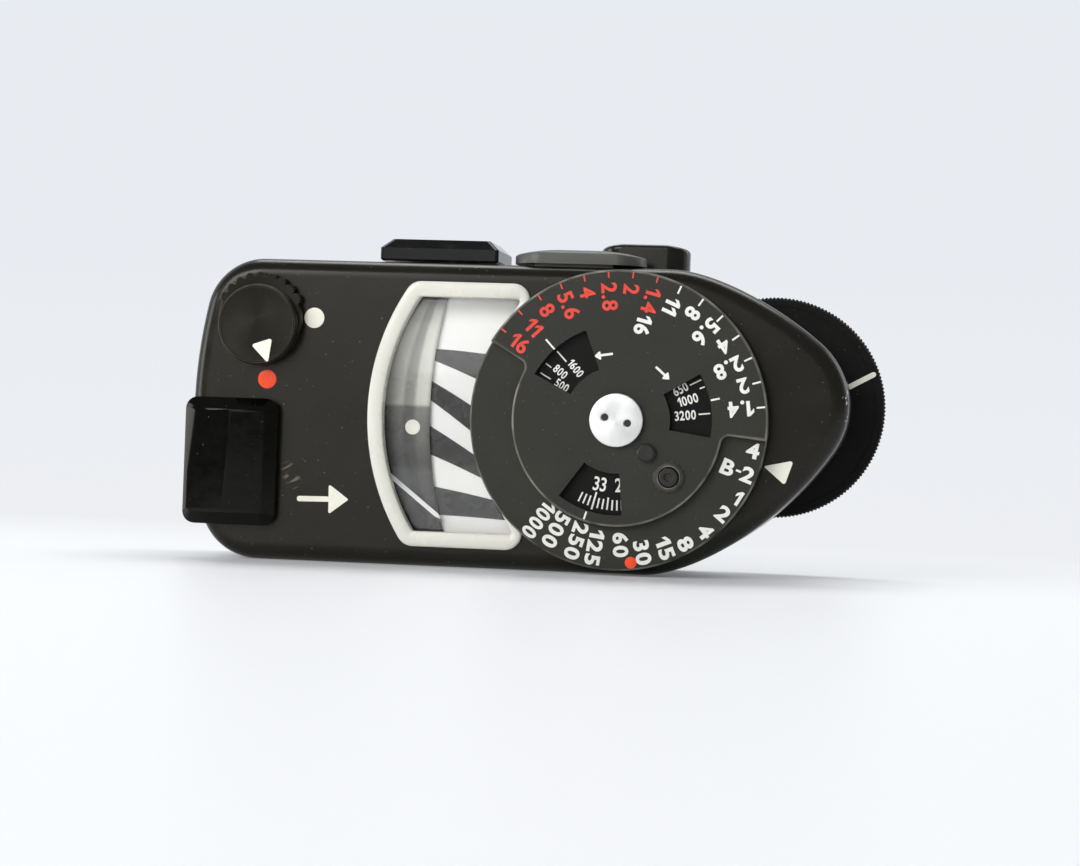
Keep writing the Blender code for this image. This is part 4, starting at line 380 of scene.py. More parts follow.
def makeFinish(name, look):
    material, tree, shader = newMaterial(name)
    where = placedCoordinates(tree, size=look.get("stretch", (1, 1, 1)))
    colour = mixColour(tree, noise(tree, where, look["patch"], 0.3, 0.7), look["colour"], look["shade"])
    fine = noise(tree, where, look["grain"], 0.25, 0.75)
    roughness = mixValue(tree, noise(tree, where, look.get("smear", 2.5), 0.35, 0.65), *look["roughness"])
    for key, socket in sockets.items():
        value = look.get(key)
        if value is not None:
            shader.inputs[socket].default_value = (*value, 1) if isinstance(value, tuple) else value
    if "rings" in look:  # lathe marks round an axis along y
        ring = look["rings"]
        centred = placedCoordinates(tree, (ring["centre"].x, 0, ring["centre"].z))
        radius = lengthOf(tree, scaled(tree, centred, (1, 0, 1)))
        line = addNode(tree, "ShaderNodeTexNoise", {"W": maths(tree, "DIVIDE", radius, ring["pitch"] * mm),
                                                   "Scale": 1.0, "Detail": 4.0}, noise_dimensions="1D").outputs[0]
        fine = mixValue(tree, ring["strength"], fine, line)
        colour = mixColour(tree, times(tree, line, ring["tint"]), colour, look["shade"])
        shader.inputs["Anisotropic"].default_value = ring["sheen"]
        tangent = addNode(tree, "ShaderNodeTangent", direction_type="RADIAL", axis="Y")
        tree.links.new(tangent.outputs[0], shader.inputs["Tangent"])
    if "specks" in look:
        specks = noise(tree, where, dust["grain"], *dust["limits"], 1.0)
        colour = mixColour(tree, times(tree, specks, look["specks"]), colour, dust["colour"])
    if "scratches" in look:
        patch = look["scratches"]
        local = placedCoordinates(tree, patch["centre"], patch["turn"], patch["size"])
        fade = between(tree, lengthOf(tree, local), 1.0, patch["full"])
        streak = addNode(tree, "ShaderNodeTexNoise", {"Vector": scaled(tree, local, patch["stretch"]),
                                                     "Scale": patch["scale"], "Detail": 1.0}).outputs[0]
        lines = between(tree, streak, *patch["limits"])
        colour = mixColour(tree, times(tree, times(tree, lines, fade), patch["share"]), colour, patch["colour"])
    if "chipped" in look:
        patch = look["chipped"]
        local = placedCoordinates(tree, patch["centre"], size=patch["size"])
        fade = between(tree, lengthOf(tree, local), 1.0, patch["full"])
        chip = noise(tree, where, patch["grain"], *patch["limits"], 2.0)
        colour = mixColour(tree, times(tree, chip, fade), colour, patch["colour"])
    # bare colour on the marked edges: real edge wear, and on the dial's finish also a painted highlight
    if "wear" in look:
        bare, share, *limits = look["wear"]
        edge = attribute(tree, "wear")
        chips = noise(tree, placedCoordinates(tree), wear["grain"], *limits, 1.0)
        edgeMark = times(tree, times(tree, edge, chips), share, True)
        colour = mixColour(tree, edgeMark, colour, bare)
        roughness = mixValue(tree, edgeMark, roughness, wear["roughness"])
        tree.links.new(mixValue(tree, edgeMark, look.get("metallic", 0), 1.0), shader.inputs["Metallic"])
    tree.links.new(colour, shader.inputs["Base Color"])
    tree.links.new(roughness, shader.inputs["Roughness"])
    bump = addNode(tree, "ShaderNodeBump", {"Height": fine, "Strength": look.get("relief", 0.4),
                                            "Distance": look["depth"] * mm})
    tree.links.new(bump.outputs[0], shader.inputs["Normal"])
    material.diffuse_color = (*look["colour"], 1)
    return material


# The range knob's axis: its hole in the case and its lathe marks lie round it too.
knobAxis = (-41.95, 9.6)
warm, faint = (1.0, 0.97, 0.88), (1.0, 0.98, 0.9)
scratches = {"centre": toWorld @ Vector((-37.9, -7.6, 17.5)), "turn": (0, math.radians(62), 0),
             "size": (0.0020, 0.002, 0.0011), "full": 0.55, "stretch": (2.9, 0.5, 0.3), "scale": 1.6,
             "limits": (0.55, 0.61), "share": 0.4, "colour": (0.34, 0.30, 0.23)}
chipped = {"centre": toWorld @ Vector((25.5, 2.6, 15.8)), "size": (0.0010, 0.0022, 0.0026), "full": 0.6,
           "grain": 0.55, "limits": (0.61, 0.64), "colour": (0.62, 0.62, 0.60)}
knobRings = {"centre": toWorld @ Vector((*knobAxis, 20)), "pitch": 0.12, "strength": 0.6, "tint": 0.5, "sheen": 0.75}
screwRings = {"centre": dialAxis, "pitch": 0.1, "strength": 0.8, "tint": 0.4, "sheen": 0.55}
looks = {
    "case_enamel": coat((0.0080, 0.0075, 0.0055), (0.0115, 0.0108, 0.0083), 9, 0.09, 0.005, (0.20, 0.27),
                        relief=0.25, specks=0.5, wear=((0.42, 0.38, 0.30), 0.4, 0.45, 0.7), specular=0.25,
                        tint=warm, scratches=scratches, chipped=chipped),
    # edge mark on this finish: light and nearly unbroken round the rims, partly bare-edge wear and partly a painted
    # highlight along them
    "dial_anodised": coat((0.0205, 0.0203, 0.0165), (0.0260, 0.0256, 0.0215), 7, 0.07, 0.007, (0.38, 0.47),
                          relief=0.35, specks=0.3, wear=((0.60, 0.58, 0.50), 0.5, 0.25, 0.75), specular=0.25,
                          tint=faint),
    "rivet_black": coat((0.019, 0.0188, 0.0155), (0.026, 0.0255, 0.022), 3, 0.08, 0.006, (0.3, 0.4), relief=0.3,
                        wear=((0.3, 0.28, 0.24), 0.15, 0.3, 0.8), specular=0.25),
    "film_black": coat((0.0035, 0.0035, 0.003), (0.006, 0.006, 0.005), 4, 0.1, 0.004, (0.35, 0.45), relief=0.25,
                       specular=0.12),
    "knob_face": coat((0.0060, 0.0058, 0.0042), (0.0140, 0.0134, 0.0100), 5, 0.07, 0.007, (0.28, 0.38),
                      relief=0.3, specks=0.25, wear=((0.24, 0.21, 0.15), 0.3, 0.2, 0.8), specular=0.13,
                      tint=(1.0, 0.97, 0.86), rings=knobRings),
    "knurled_black": coat((0.0035, 0.0035, 0.0028), (0.0065, 0.0065, 0.0055), 5, 0.08, 0.01, (0.38, 0.5),
                          specks=0.75, wear=((0.2, 0.19, 0.16), 0.12, 0.5, 0.66), specular=0.13),
    "gloss_black": coat((0.0012, 0.0012, 0.0009), (0.0022, 0.0022, 0.0018), 4, 0.5, 0.004, (0.06, 0.13),
                        relief=0.2, smear=1.4, specks=0.2, specular=0.16, tint=faint),
    "cell_black": coat((0.0045, 0.0046, 0.0042), (0.0075, 0.0075, 0.007), 4, 0.1, 0.003, (0.03, 0.08),
                       relief=0.2, specks=0.3, wear=((0.3, 0.3, 0.28), 0.25, 0.3, 0.8), specular=0.14),
    "button_black": coat((0.0070, 0.0067, 0.0052), (0.0125, 0.012, 0.0098), 4, 0.08, 0.005, (0.14, 0.22),
                         specks=0.25, wear=((0.3, 0.28, 0.24), 0.12, 0.5, 0.66), specular=0.3, tint=faint),
    "cover_grey": coat((0.074, 0.074, 0.066), (0.095, 0.095, 0.085), 5, 0.3, 0.006, (0.42, 0.52),
                       stretch=(6, 1, 1), metallic=0.25, wear=((0.4, 0.39, 0.35), 0.25, 0.2, 0.8)),
    "cream_plastic": coat((0.775, 0.755, 0.665), (0.815, 0.80, 0.725), 7, 0.25, 0.008, (0.22, 0.34), relief=0.25,
                          subsurface=0.06, reach=0.001),
    "scale_white": coat((0.97, 0.97, 0.925), (0.985, 0.985, 0.95), 8, 0.15, 0.004, (0.35, 0.45)),
    "scale_black": coat((0.010, 0.0098, 0.0075), (0.026, 0.0255, 0.021), 3, 0.2, 0.004, (0.22, 0.34)),
    "white_ink": coat((0.90, 0.89, 0.84), (0.80, 0.79, 0.74), 1.2, 0.12, 0.01, (0.42, 0.55)),
    "cream_ink": coat((0.96, 0.94, 0.81), (0.90, 0.87, 0.75), 1.6, 0.14, 0.014, (0.36, 0.5)),
    "red_ink": coat((0.84, 0.052, 0.022), (0.72, 0.04, 0.018), 1.5, 0.12, 0.01, (0.4, 0.52)),
    "red_enamel": coat((0.96, 0.085, 0.016), (0.88, 0.065, 0.012), 1.2, 0.16, 0.01, (0.25, 0.36), specular=0.3),
    "needle_white": coat((0.97, 0.97, 0.94), (0.92, 0.92, 0.89), 2, 0.1, 0.005, (0.4, 0.5)),
    "bright_turned": coat((0.84, 0.84, 0.825), (0.70, 0.70, 0.685), 3, 0.12, 0.008, (0.30, 0.40), relief=0.3,
                          metallic=0.55, rings=screwRings),
    "steel": coat((0.50, 0.50, 0.49), (0.45, 0.45, 0.44), 1.6, 0.3, 0.006, (0.25, 0.4), stretch=(1, 8, 1),
                  metallic=1),
    "brass": coat((0.68, 0.50, 0.22), (0.52, 0.36, 0.15), 3, 0.25, 0.006, (0.25, 0.42), stretch=(1, 8, 1),
                  metallic=1),
    "copper_wire": coat((0.62, 0.28, 0.14), (0.45, 0.19, 0.09), 1.5, 0.12, 0.01, (0.3, 0.45), metallic=1),
    "magnet_iron": coat((0.20, 0.20, 0.21), (0.12, 0.12, 0.12), 2, 0.2, 0.015, (0.45, 0.6), metallic=0.8),
    "hole_shadow": coat((0.012, 0.012, 0.011), (0.02, 0.02, 0.018), 1, 0.1, 0.01, (0.5, 0.65)),
    "board_brown": coat((0.26, 0.14, 0.06), (0.19, 0.10, 0.04), 2, 0.3, 0.01, (0.5, 0.65), stretch=(3, 1, 1)),
    "resistor_ceramic": coat((0.52, 0.40, 0.27), (0.40, 0.29, 0.18), 1.5, 0.15, 0.012, (0.5, 0.62)),
    "cell_sulphide": coat((0.55, 0.28, 0.08), (0.42, 0.19, 0.05), 1.8, 0.2, 0.01, (0.4, 0.55)),
}
panes = {"clear_plastic": {"colour": (0.97, 0.97, 0.97), "shade": (0.93, 0.93, 0.92), "roughness": (0.02, 0.05),
                           "alpha": 0.024},
         "cell_glass": {"colour": (0.22, 0.25, 0.23), "shade": (0.30, 0.32, 0.30), "roughness": (0.03, 0.06),
                        "alpha": 0.22}}
# the track's colour is painted light: across sets painted reflection bands with a dark streak, along a bright painted
# reflection over the upper part and painted shade towards the bottom and the top end
trackLookWithPaintedLight = coat((0.08, 0.08, 0.075), [0.75 * part for part in (0.08, 0.08, 0.075)], 4, 0.2, 0.004, (0.22, 0.32),
                 across=[(0.0, 0.25), (0.12, 0.60), (0.38, 0.66), (0.5, 0.33), (0.62, 0.37), (0.74, 0.78),
                         (0.92, 0.84), (1.0, 0.55)],
                 along=[(0.0, 0.035), (0.22, 0.07), (0.42, 0.19), (0.525, 0.26), (0.545, 0.80), (0.86, 0.92),
                        (0.93, 0.7), (1.0, 0.25)],
                 waver=0.07, yellow=0.94)


def makePane(name, look):
    # clear sheet: mostly open, with a real shine and a trace of haze
    material, tree, shader = newMaterial(name)
    where = placedCoordinates(tree)
    haze = noise(tree, where, 3, 0.35, 0.7)
    tree.links.new(mixColour(tree, haze, look["colour"], look["shade"]), shader.inputs["Base Color"])
    tree.links.new(mixValue(tree, haze, *look["roughness"]), shader.inputs["Roughness"])
    ripple = addNode(tree, "ShaderNodeBump", {"Height": noise(tree, where, 1.6, 0.2, 0.8), "Strength": 0.15,
                                              "Distance": 0.02 * mm})
    tree.links.new(ripple.outputs[0], shader.inputs["Normal"])
    shader.inputs["Metallic"].default_value = 1.0
    shader.inputs["Alpha"].default_value = look["alpha"]
    return material


def makeTrack(name, look):
    # glossy grey sheet under the needle with painted light: painted reflection bands across it, and painted shade
    # darker towards the bottom
    material = makeFinish(name, look)
    tree = material.node_tree
    across, along = attribute(tree, "across"), attribute(tree, "along")
    waver = noise(tree, placedCoordinates(tree, size=(1, 1, 7)), 1.4, 0.2, 0.8)
    across = plus(tree, across, times(tree, minus(tree, waver, 0.5), look["waver"]))
    # two ramps of painted reflection and painted shade, multiplied into the base colour
    paintedLight = []
    for place, stops in ((across, look["across"]), (along, look["along"])):
        item = addNode(tree, "ShaderNodeValToRGB", {0: place})
        ramp = item.color_ramp
        ramp.interpolation = "EASE"
        while len(ramp.elements) < len(stops):
            ramp.elements.new(0.5)
        for element, (position, level) in zip(ramp.elements, stops):
            element.position = position
            element.color = (level, level, level * look["yellow"], 1)
        paintedLight.append(item.outputs[0])
    tree.links.new(mixColour(tree, 1.0, *paintedLight, "MULTIPLY"), tree.nodes["Principled BSDF"].inputs["Base Color"])
    return material


finishes = {name: makeFinish(name, entry) for name, entry in looks.items()}
finishes.update({name: makePane(name, entry) for name, entry in panes.items()})
finishes["track_grey"] = makeTrack("track_grey", trackLookWithPaintedLight)
print("finishes ready:", len(finishes))


# Geometry Nodes helpers

def newTree(name, inputs):
    tree = bpy.data.node_groups.new(name, "GeometryNodeTree")
    tree.interface.new_socket("Geometry", in_out="INPUT", socket_type="NodeSocketGeometry")
    for label, kind, value in (*inputs, ("Material", "Material", None)):
        socket = tree.interface.new_socket(label, in_out="INPUT", socket_type="NodeSocket" + kind)
        if value is not None:
            socket.default_value = value
    tree.interface.new_socket("Geometry", in_out="OUTPUT", socket_type="NodeSocketGeometry")
    start = tree.nodes.new("NodeGroupInput")
    tree.nodes.new("NodeGroupOutput")
    return tree, start.outputs


def finishTree(tree, given, geometry):
    real = addNode(tree, "GeometryNodeRealizeInstances", {0: geometry})
    coated = addNode(tree, "GeometryNodeSetMaterial", {"Geometry": real.outputs[0], "Material": given["Material"]})
    tree.links.new(coated.outputs[0], tree.nodes["Group Output"].inputs[0])
    return tree


def runTree(tree, values, points=((0, 0, 0),)):
    mesh = bpy.data.meshes.new("places")
    mesh.from_pydata([tuple(point) for point in points], [], [])
    obj = newObject("places", mesh)
    step = obj.modifiers.new("tree", "NODES")
    step.node_group = tree
    for item in tree.interface.items_tree:
        if item.item_type == "SOCKET" and item.in_out == "INPUT" and item.name in values:
            step[item.identifier] = values[item.name]
    made = plainMesh(obj)
    obj.modifiers.clear()
    bm = editable(made)
    discard(obj)
    return bm


def vector(tree, x=0.0, y=0.0, z=0.0):
    return addNode(tree, "ShaderNodeCombineXYZ", {0: x, 1: y, 2: z}).outputs[0]


def cylinder(tree, vertices, radius, depth, **more):
    inputs = {"Vertices": vertices, "Radius": radius, "Depth": depth, **more}
    return addNode(tree, "GeometryNodeMeshCylinder", inputs).outputs["Mesh"]


def cuboid(tree, x, y, z):
    return addNode(tree, "GeometryNodeMeshCube", {"Size": vector(tree, x, y, z)}).outputs["Mesh"]


def raised(tree, shape, height):
    return addNode(tree, "GeometryNodeTransform", {0: shape, "Translation": vector(tree, z=height)}).outputs[0]


def onPoints(tree, points, shape, turn):
    inputs = {"Points": points, "Instance": shape, "Rotation": turn}
    return addNode(tree, "GeometryNodeInstanceOnPoints", inputs).outputs[0]


def screwTree():
    # slotted flat-head screws, one on each point, head outwards along -z
    tree, given = newTree("slotted_screws", [
        ("Head Radius", "Float", 1.5), ("Head Depth", "Float", 0.7), ("Stem Radius", "Float", 0.75),
        ("Length", "Float", 5.0), ("Slot Width", "Float", 0.35), ("Slot Depth", "Float", 0.3),
        ("Chamfer", "Float", 0.12), ("Seed", "Int", 3)])
    radius, chamfer, length = given["Head Radius"], given["Chamfer"], given["Length"]
    bevel = addNode(tree, "GeometryNodeMeshCone", {"Vertices": 48, "Radius Bottom": minus(tree, radius, chamfer),
                                                   "Radius Top": radius, "Depth": chamfer}).outputs["Mesh"]
    rest = minus(tree, given["Head Depth"], chamfer)
    head = raised(tree, cylinder(tree, 48, radius, rest), plus(tree, chamfer, times(tree, rest, 0.5)))
    stem = raised(tree, cylinder(tree, 32, given["Stem Radius"], length), times(tree, length, 0.5))
    solid = addNode(tree, "GeometryNodeMeshBoolean", operation="UNION", solver="EXACT")
    for part in (bevel, head, stem):
        tree.links.new(part, solid.inputs["Mesh 2"])
    slot = cuboid(tree, times(tree, radius, 3.0), given["Slot Width"], times(tree, given["Slot Depth"], 2.0))
    cut = addNode(tree, "GeometryNodeMeshBoolean", {"Mesh 1": solid.outputs[0], "Mesh 2": slot},
                  operation="DIFFERENCE", solver="EXACT")
    turn = addNode(tree, "FunctionNodeRandomValue", {"Min": (0, 0, -1.2), "Max": (0, 0, 1.2), "Seed": given["Seed"]},
                   data_type="FLOAT_VECTOR")
    return finishTree(tree, given, onPoints(tree, given["Geometry"], cut.outputs[0], turn.outputs[0]))


def knurlTree():
    # round bar with straight teeth and a small chamfer at both ends
    tree, given = newTree("knurled_rim", [
        ("Teeth", "Int", 180), ("Radius", "Float", 13.2), ("Tooth Depth", "Float", 0.2), ("Thickness", "Float", 2.6),
        ("Chamfer", "Float", 0.25)])
    teeth, radius, thickness, chamfer = (given[name] for name in ("Teeth", "Radius", "Thickness", "Chamfer"))
    bar = cylinder(tree, times(tree, teeth, 2), radius, thickness, **{"Side Segments": 3})
    here = addNode(tree, "ShaderNodeSeparateXYZ", {0: addNode(tree, "GeometryNodeInputPosition").outputs[0]})
    x, y, z = here.outputs
    count = times(tree, maths(tree, "ARCTAN2", y, x), maths(tree, "DIVIDE", teeth, math.pi))
    valley = maths(tree, "FLOORED_MODULO", maths(tree, "ROUND", count), 2.0)
    atEnd = maths(tree, "GREATER_THAN", maths(tree, "ABSOLUTE", z), times(tree, thickness, 0.4))
    lost = plus(tree, times(tree, valley, given["Tooth Depth"]), times(tree, atEnd, chamfer))
    scale = minus(tree, 1.0, maths(tree, "DIVIDE", lost, radius))
    half = times(tree, thickness, 0.5)
    height = times(tree, maths(tree, "SIGN", z), mixValue(tree, atEnd, minus(tree, half, chamfer), half))
    moved = vector(tree, times(tree, x, scale), times(tree, y, scale), height)
    shaped = addNode(tree, "GeometryNodeSetPosition", {0: bar, "Position": moved})
    return finishTree(tree, given, shaped.outputs[0])


def tickTree():
    # straight marks at an even pitch round the dial's axis
    tree, given = newTree("dial_ticks", [
        ("Count", "Int", 8), ("First Angle", "Float", 0.0), ("Pitch", "Float", 0.17), ("Inner Radius", "Float", 16.0),
        ("Length", "Float", 0.6), ("Width", "Float", 0.2), ("Thickness", "Float", 0.03), ("Level", "Float", 21.0)])
    length = given["Length"]
    line = addNode(tree, "GeometryNodeMeshLine", {"Count": given["Count"]})
    index = addNode(tree, "GeometryNodeInputIndex").outputs[0]
    angle = plus(tree, given["First Angle"], times(tree, index, given["Pitch"]))
    reach = plus(tree, given["Inner Radius"], times(tree, length, 0.5))
    place = vector(tree, times(tree, reach, maths(tree, "COSINE", angle)),
                   times(tree, reach, maths(tree, "SINE", angle)), given["Level"])
    points = addNode(tree, "GeometryNodeSetPosition", {0: line.outputs[0], "Position": place}).outputs[0]
    mark = cuboid(tree, length, given["Width"], given["Thickness"])
    return finishTree(tree, given, onPoints(tree, points, mark, vector(tree, z=angle)))


ticksOnDial = tickTree()


def ticks(material, count, first, pitch, inner, length, width, level):
    # the angles are those of the photograph, as in polar below
    values = {"Count": count, "First Angle": math.radians(first + dial["turn"]), "Pitch": math.radians(pitch),
              "Inner Radius": inner, "Length": length, "Width": width, "Level": level,
              "Material": finishes[material]}
    return runTree(ticksOnDial, values)


# Case

case = {"left": 50.1, "halfWidth": 17.4, "bottom": 1.7, "top": 17.5, "wall": 1.3, "edge": 1.9, "corner": 6.8,
        "endRadius": 57, "nose": (16.4, 2.4), "noseRadius": 9.2, "noseFront": 50, "noseRear": 33,
        "frontFlank": (5, 5.2, 6), "rearFlank": (3, 5.2, 10.5), "baseThickness": 1.4, "baseEdge": 0.25}
# cut through the housing: bore radii, and the low and high corners or the outline of each slot
bores = {"screw": 1.05, "sink": 1.8, "post": 1.8, "spindle": 3.45, "knob": 1.35, "shaft": 2.95,
         "key": ((-46.15, -9.0), (-41.85, -3.4)), "cell": ((-26.7, 15.5, 5.9), (-16.3, 18, 11.9)),
         "cover": ((-11.3, 15.5, 10.25), (0.9, 18, 16.1)), "button": (11, 6.4, 2.9),
         "buttonPlace": (1.1, 15.5, 5.6), "buttonDepth": 2.5, "window": (0.73, 0.2), "boss": 0.6, "screwDepth": 4}
opening = {"corner": 1.95, "leastCorner": 0.35, "halfHeight": 15.15, "left": -29.1, "leftRadius": 26.6,
           "right": -14.7, "rightRadius": 21.84}
basePlaces = [(-45.6, 12.3), (-45.6, -12.3), (-8.2, -13.4), (19.4, -4.2)]
footPlaces = [(-22 + across * 4.2, along * 5.6) for across in (-1, 1) for along in (-1, 1)]


def noseFlank(side, angle, flank):
    startX, firstHandle, lastHandle = flank
    end = Vector(ringPoint(case["noseRadius"], side * angle, case["nose"]))
    along = Vector((math.sin(angle), -side * math.cos(angle)))
    start = Vector((startX, side * case["halfWidth"]))
    knots = (start, start + Vector((firstHandle, 0)), end - along * lastHandle, end)
    return [(point.x, point.y) for point in interpolate_bezier(*[knot.to_3d() for knot in knots], 28)]


def caseOutline():
    radius, corner = case["endRadius"], case["corner"]
    endCentre = radius - case["left"]
    reach = radius - corner
    rise = case["halfWidth"] - corner
    cornerX = endCentre - math.sqrt(reach ** 2 - rise ** 2)
    lean = math.asin(rise / reach)
    front, rear = math.radians(case["noseFront"]), math.radians(case["noseRear"])
    points = arc((cornerX, rise), corner, quarter, 2 * quarter - lean, 20)
    points += arc((endCentre, 0), radius, 2 * quarter - lean, 2 * quarter + lean, 16)[1:-1]
    points += arc((cornerX, -rise), corner, 2 * quarter + lean, 3 * quarter, 20)
    points += noseFlank(-1, rear, case["rearFlank"])
    points += arc(case["nose"], case["noseRadius"], -rear, front, 28)[1:-1]
    points += noseFlank(1, front, case["frontFlank"])[::-1]
    return points


def windowOutline(inset, rightInset, steps=48):
    corner = max(opening["corner"] - inset, opening["leastCorner"])
    level = opening["halfHeight"] - inset - corner
    leftCentre, leftRadius = opening["left"] + opening["leftRadius"], opening["leftRadius"] - inset
    rightCentre, rightRadius = opening["right"] + opening["rightRadius"], opening["rightRadius"] + rightInset
    leftLean = math.asin(level / (leftRadius - corner))
    rightLean = math.asin(level / (rightRadius + corner))
    leftX = leftCentre - (leftRadius - corner) * math.cos(leftLean)
    rightX = rightCentre - (rightRadius + corner) * math.cos(rightLean)
    half = 2 * quarter
    points = arc((leftX, level), corner, quarter, half - leftLean, 10)
    points += arc((leftCentre, 0), leftRadius, half - leftLean, half + leftLean, steps)[1:-1]
    points += arc((leftX, -level), corner, half + leftLean, 3 * quarter, 10)
    points += arc((rightX, -level), corner, -quarter, rightLean, 10)
    points += arc((rightCentre, 0), rightRadius, half + rightLean, half - rightLean, steps)[1:-1]
    points += arc((rightX, level), corner, -rightLean, quarter, 10)
    return points


def makeHousing():
    outline, top, bottom, edge = caseOutline(), case["top"], case["bottom"], case["edge"]
    ceiling, steps, flat = top - case["wall"], 12, 0.15
    levels = [(outline, bottom), (outline, top - edge - flat)]
    for step in range(steps + 1):
        angle = quarter * step / steps
        levels.append((inward(outline, edge * (1 - math.cos(angle))), top - edge * (1 - math.sin(angle))))
    levels.append((inward(outline, edge + flat), top))
    housing = combined(loft(levels), [prism(inward(outline, case["wall"]), bottom - 1, ceiling)])
    housing = combined(housing, [drums(basePlaces, bores["post"], bottom, ceiling + bores["boss"])], "UNION")
    holes = drums(basePlaces, bores["screw"], bottom - 1, bottom + bores["screwDepth"], 32)
    drum(bores["spindle"], ceiling - 1, top + 1, bm=holes)
    drum(bores["knob"], ceiling - 1, top + 1, knobAxis, bm=holes)
    low, high = bores["key"]
    block((*low, ceiling - 1), (*high, top + 1), holes)
    window = prism(windowOutline(*bores["window"]), ceiling - 1, top + 1)
    sides = bmesh.new()
    block(*bores["cell"], sides)
    block(*bores["cover"], sides)
    slot = facingSubject(prism(roundedBox(*bores["button"]), 0, bores["buttonDepth"]), bores["buttonPlace"])
    housing = combined(housing, [holes, window, sides, slot])
    settle("case_shell", housing, "case", "case_enamel", "black_enamel", "top_housing")


def makeBasePlate():
    outline, thick, edge = caseOutline(), case["baseThickness"], case["baseEdge"]
    small = edge * 0.3
    plate = loft([(inward(outline, edge), 0), (inward(outline, small), small), (outline, edge),
                  (outline, thick - edge), (inward(outline, small), thick - small), (inward(outline, edge), thick)])
    holes = drums(basePlaces + footPlaces, bores["screw"], -1, thick + 1, 32)
    drum(bores["shaft"], -1, thick + 1, case["nose"], bm=holes)
    plate = combined(plate, [holes, drums(basePlaces, bores["sink"], -1, 1.0)])
    settle("back_plate", plate, "case", "case_enamel", "black_enamel", "base_plate")


foot = {"x": -22, "width": 18.6, "length": 17.6, "low": -3.4, "high": -1.5, "neckWidth": 12.4, "neckTop": -0.3,
        "lead": 1.2, "softEdge": 0.18}


def makeFoot():
    half, length, lead, low = foot["width"] / 2, foot["length"] / 2, foot["lead"], foot["low"]
    outline = [(half - lead, length), (lead - half, length), (-half, length - lead), (-half, lead - length),
               (lead - half, -length), (half - lead, -length), (half, lead - length), (half, length - lead)]
    plate = softened(prism(outline, low, foot["high"]), foot["softEdge"])
    neck = foot["neckWidth"] / 2
    stalk = block((-neck, lead - length, low + 0.9), (neck, length - lead, foot["neckTop"]))
    whole = placed(combined(plate, [stalk], "UNION"), (foot["x"], 0))
    whole = combined(whole, [drums(footPlaces, bores["screw"], low - 1, 1, 32),
                             drums(footPlaces, bores["sink"], low - 1, low + 1.0)])
    settle("slide_foot", whole, "case", "steel", "steel", "shoe_foot")


screws = {"Head Radius": 1.5, "Head Depth": 0.7, "Stem Radius": 0.75, "Slot Width": 0.35, "Slot Depth": 0.3}
screwSets = [  # places, level of the heads, length and seed
    ("base", basePlaces, 0, 5.4, 3), ("foot", footPlaces, foot["low"], 4.8, 8)]


def makeScrews():
    tree = screwTree()
    for kind, places, level, length, seed in screwSets:
        values = {**screws, "Material": finishes["steel"], "Length": length, "Seed": seed}
        heads = runTree(tree, values, [(x, y, level) for x, y in places])
        replaced = [f"{kind}_screw_{number}" for number in (1, 2, 3, 4)]
        settle(kind + "_plate_screws", heads, "case", "steel", "steel", *replaced)


makeHousing()
makeBasePlate()
makeFoot()
makeScrews()
print("case made")


# Lettering and painted marks

figureOne = {"stroke": 0.105, "flag": 0.17, "drop": 0.17, "corner": 0.15, "slope": 1.1, "under": 1.15}
spacing = 0.085
glyphs = {}


def glyph(sign, bold):
    # one character on its baseline: corner points, faces, left and right limits; the figure 1 gets a flag
    if (sign, bold) not in glyphs:
        if sign == "1":
            stroke, flag, top = figureOne["stroke"] + 2 * bold, figureOne["flag"], glyph("0", bold)["top"]
            drop = top - figureOne["drop"]
            shape = [(flag, 0), (flag + stroke, 0), (flag + stroke, top), (flag + stroke * figureOne["corner"], top),
                     (0, drop), (0, drop - stroke * figureOne["slope"]), (flag, top - stroke * figureOne["under"])]
            mesh = meshFrom(prism(shape, -0.05, 0.05))
        else:
            curve = bpy.data.curves.new("letters", "FONT")
            curve.body = sign
            curve.extrude = 0.05
            curve.offset = bold
            curve.resolution_u = 4
            obj = newObject("letters", curve)
            mesh = plainMesh(obj)
            discard(obj)
        points = [tuple(vert.co) for vert in mesh.vertices]
        faces = [tuple(face.vertices) for face in mesh.polygons]
        bpy.data.meshes.remove(mesh)
        glyphs[sign, bold] = {"points": points, "faces": faces, "left": min(point[0] for point in points),
                              "right": max(point[0] for point in points), "top": max(point[1] for point in points)}
    return glyphs[sign, bold]


def letters(bm, words, height, place, angle, level, bold=0.0, squeeze=1.0, length=None, thick=0.03):
    # squeeze narrows the words, unless their full length is given
    own = bmesh.new()
    cursor = 0
    for sign in words:
        shape = glyph(sign, bold)
        verts = [own.verts.new((x - shape["left"] + cursor, y, z)) for x, y, z in shape["points"]]
        for face in shape["faces"]:
            own.faces.new([verts[corner] for corner in face])
        cursor += shape["right"] - shape["left"] + spacing
    wide, top = cursor - spacing, glyph(words[0], bold)["top"]
    scale = height / (top + 0.01)
    if length:
        squeeze = length / (scale * wide)
    own.transform(Matrix.Diagonal((scale * squeeze, scale, thick / 0.1, 1))
                  @ Matrix.Translation((-wide / 2, -top / 2, 0)))
    bmesh.ops.remove_doubles(own, verts=own.verts, dist=0.002)
    own.transform(Matrix.Translation((*place, level)) @ Matrix.Rotation(math.radians(angle), 4, "Z"))
    joined(bm, own)


def arrow(bm, tail, tip, width, headWidth, headLength, low, high):
    start, end = Vector(tail), Vector(tip)
    along = (end - start).normalized()
    side = Vector((-along.y, along.x))
    neck = end - along * headLength
    shaft, head = side * width / 2, side * headWidth / 2
    corners = [(start + shaft, width * 0.4), (start - shaft, width * 0.4), (neck - shaft, 0), (neck - head, 0.16),
               (end, 0.12), (neck + head, 0.16), (neck + shaft, 0)]
    return prism(filleted([(point.x, point.y, radius) for point, radius in corners]), low, high, bm)


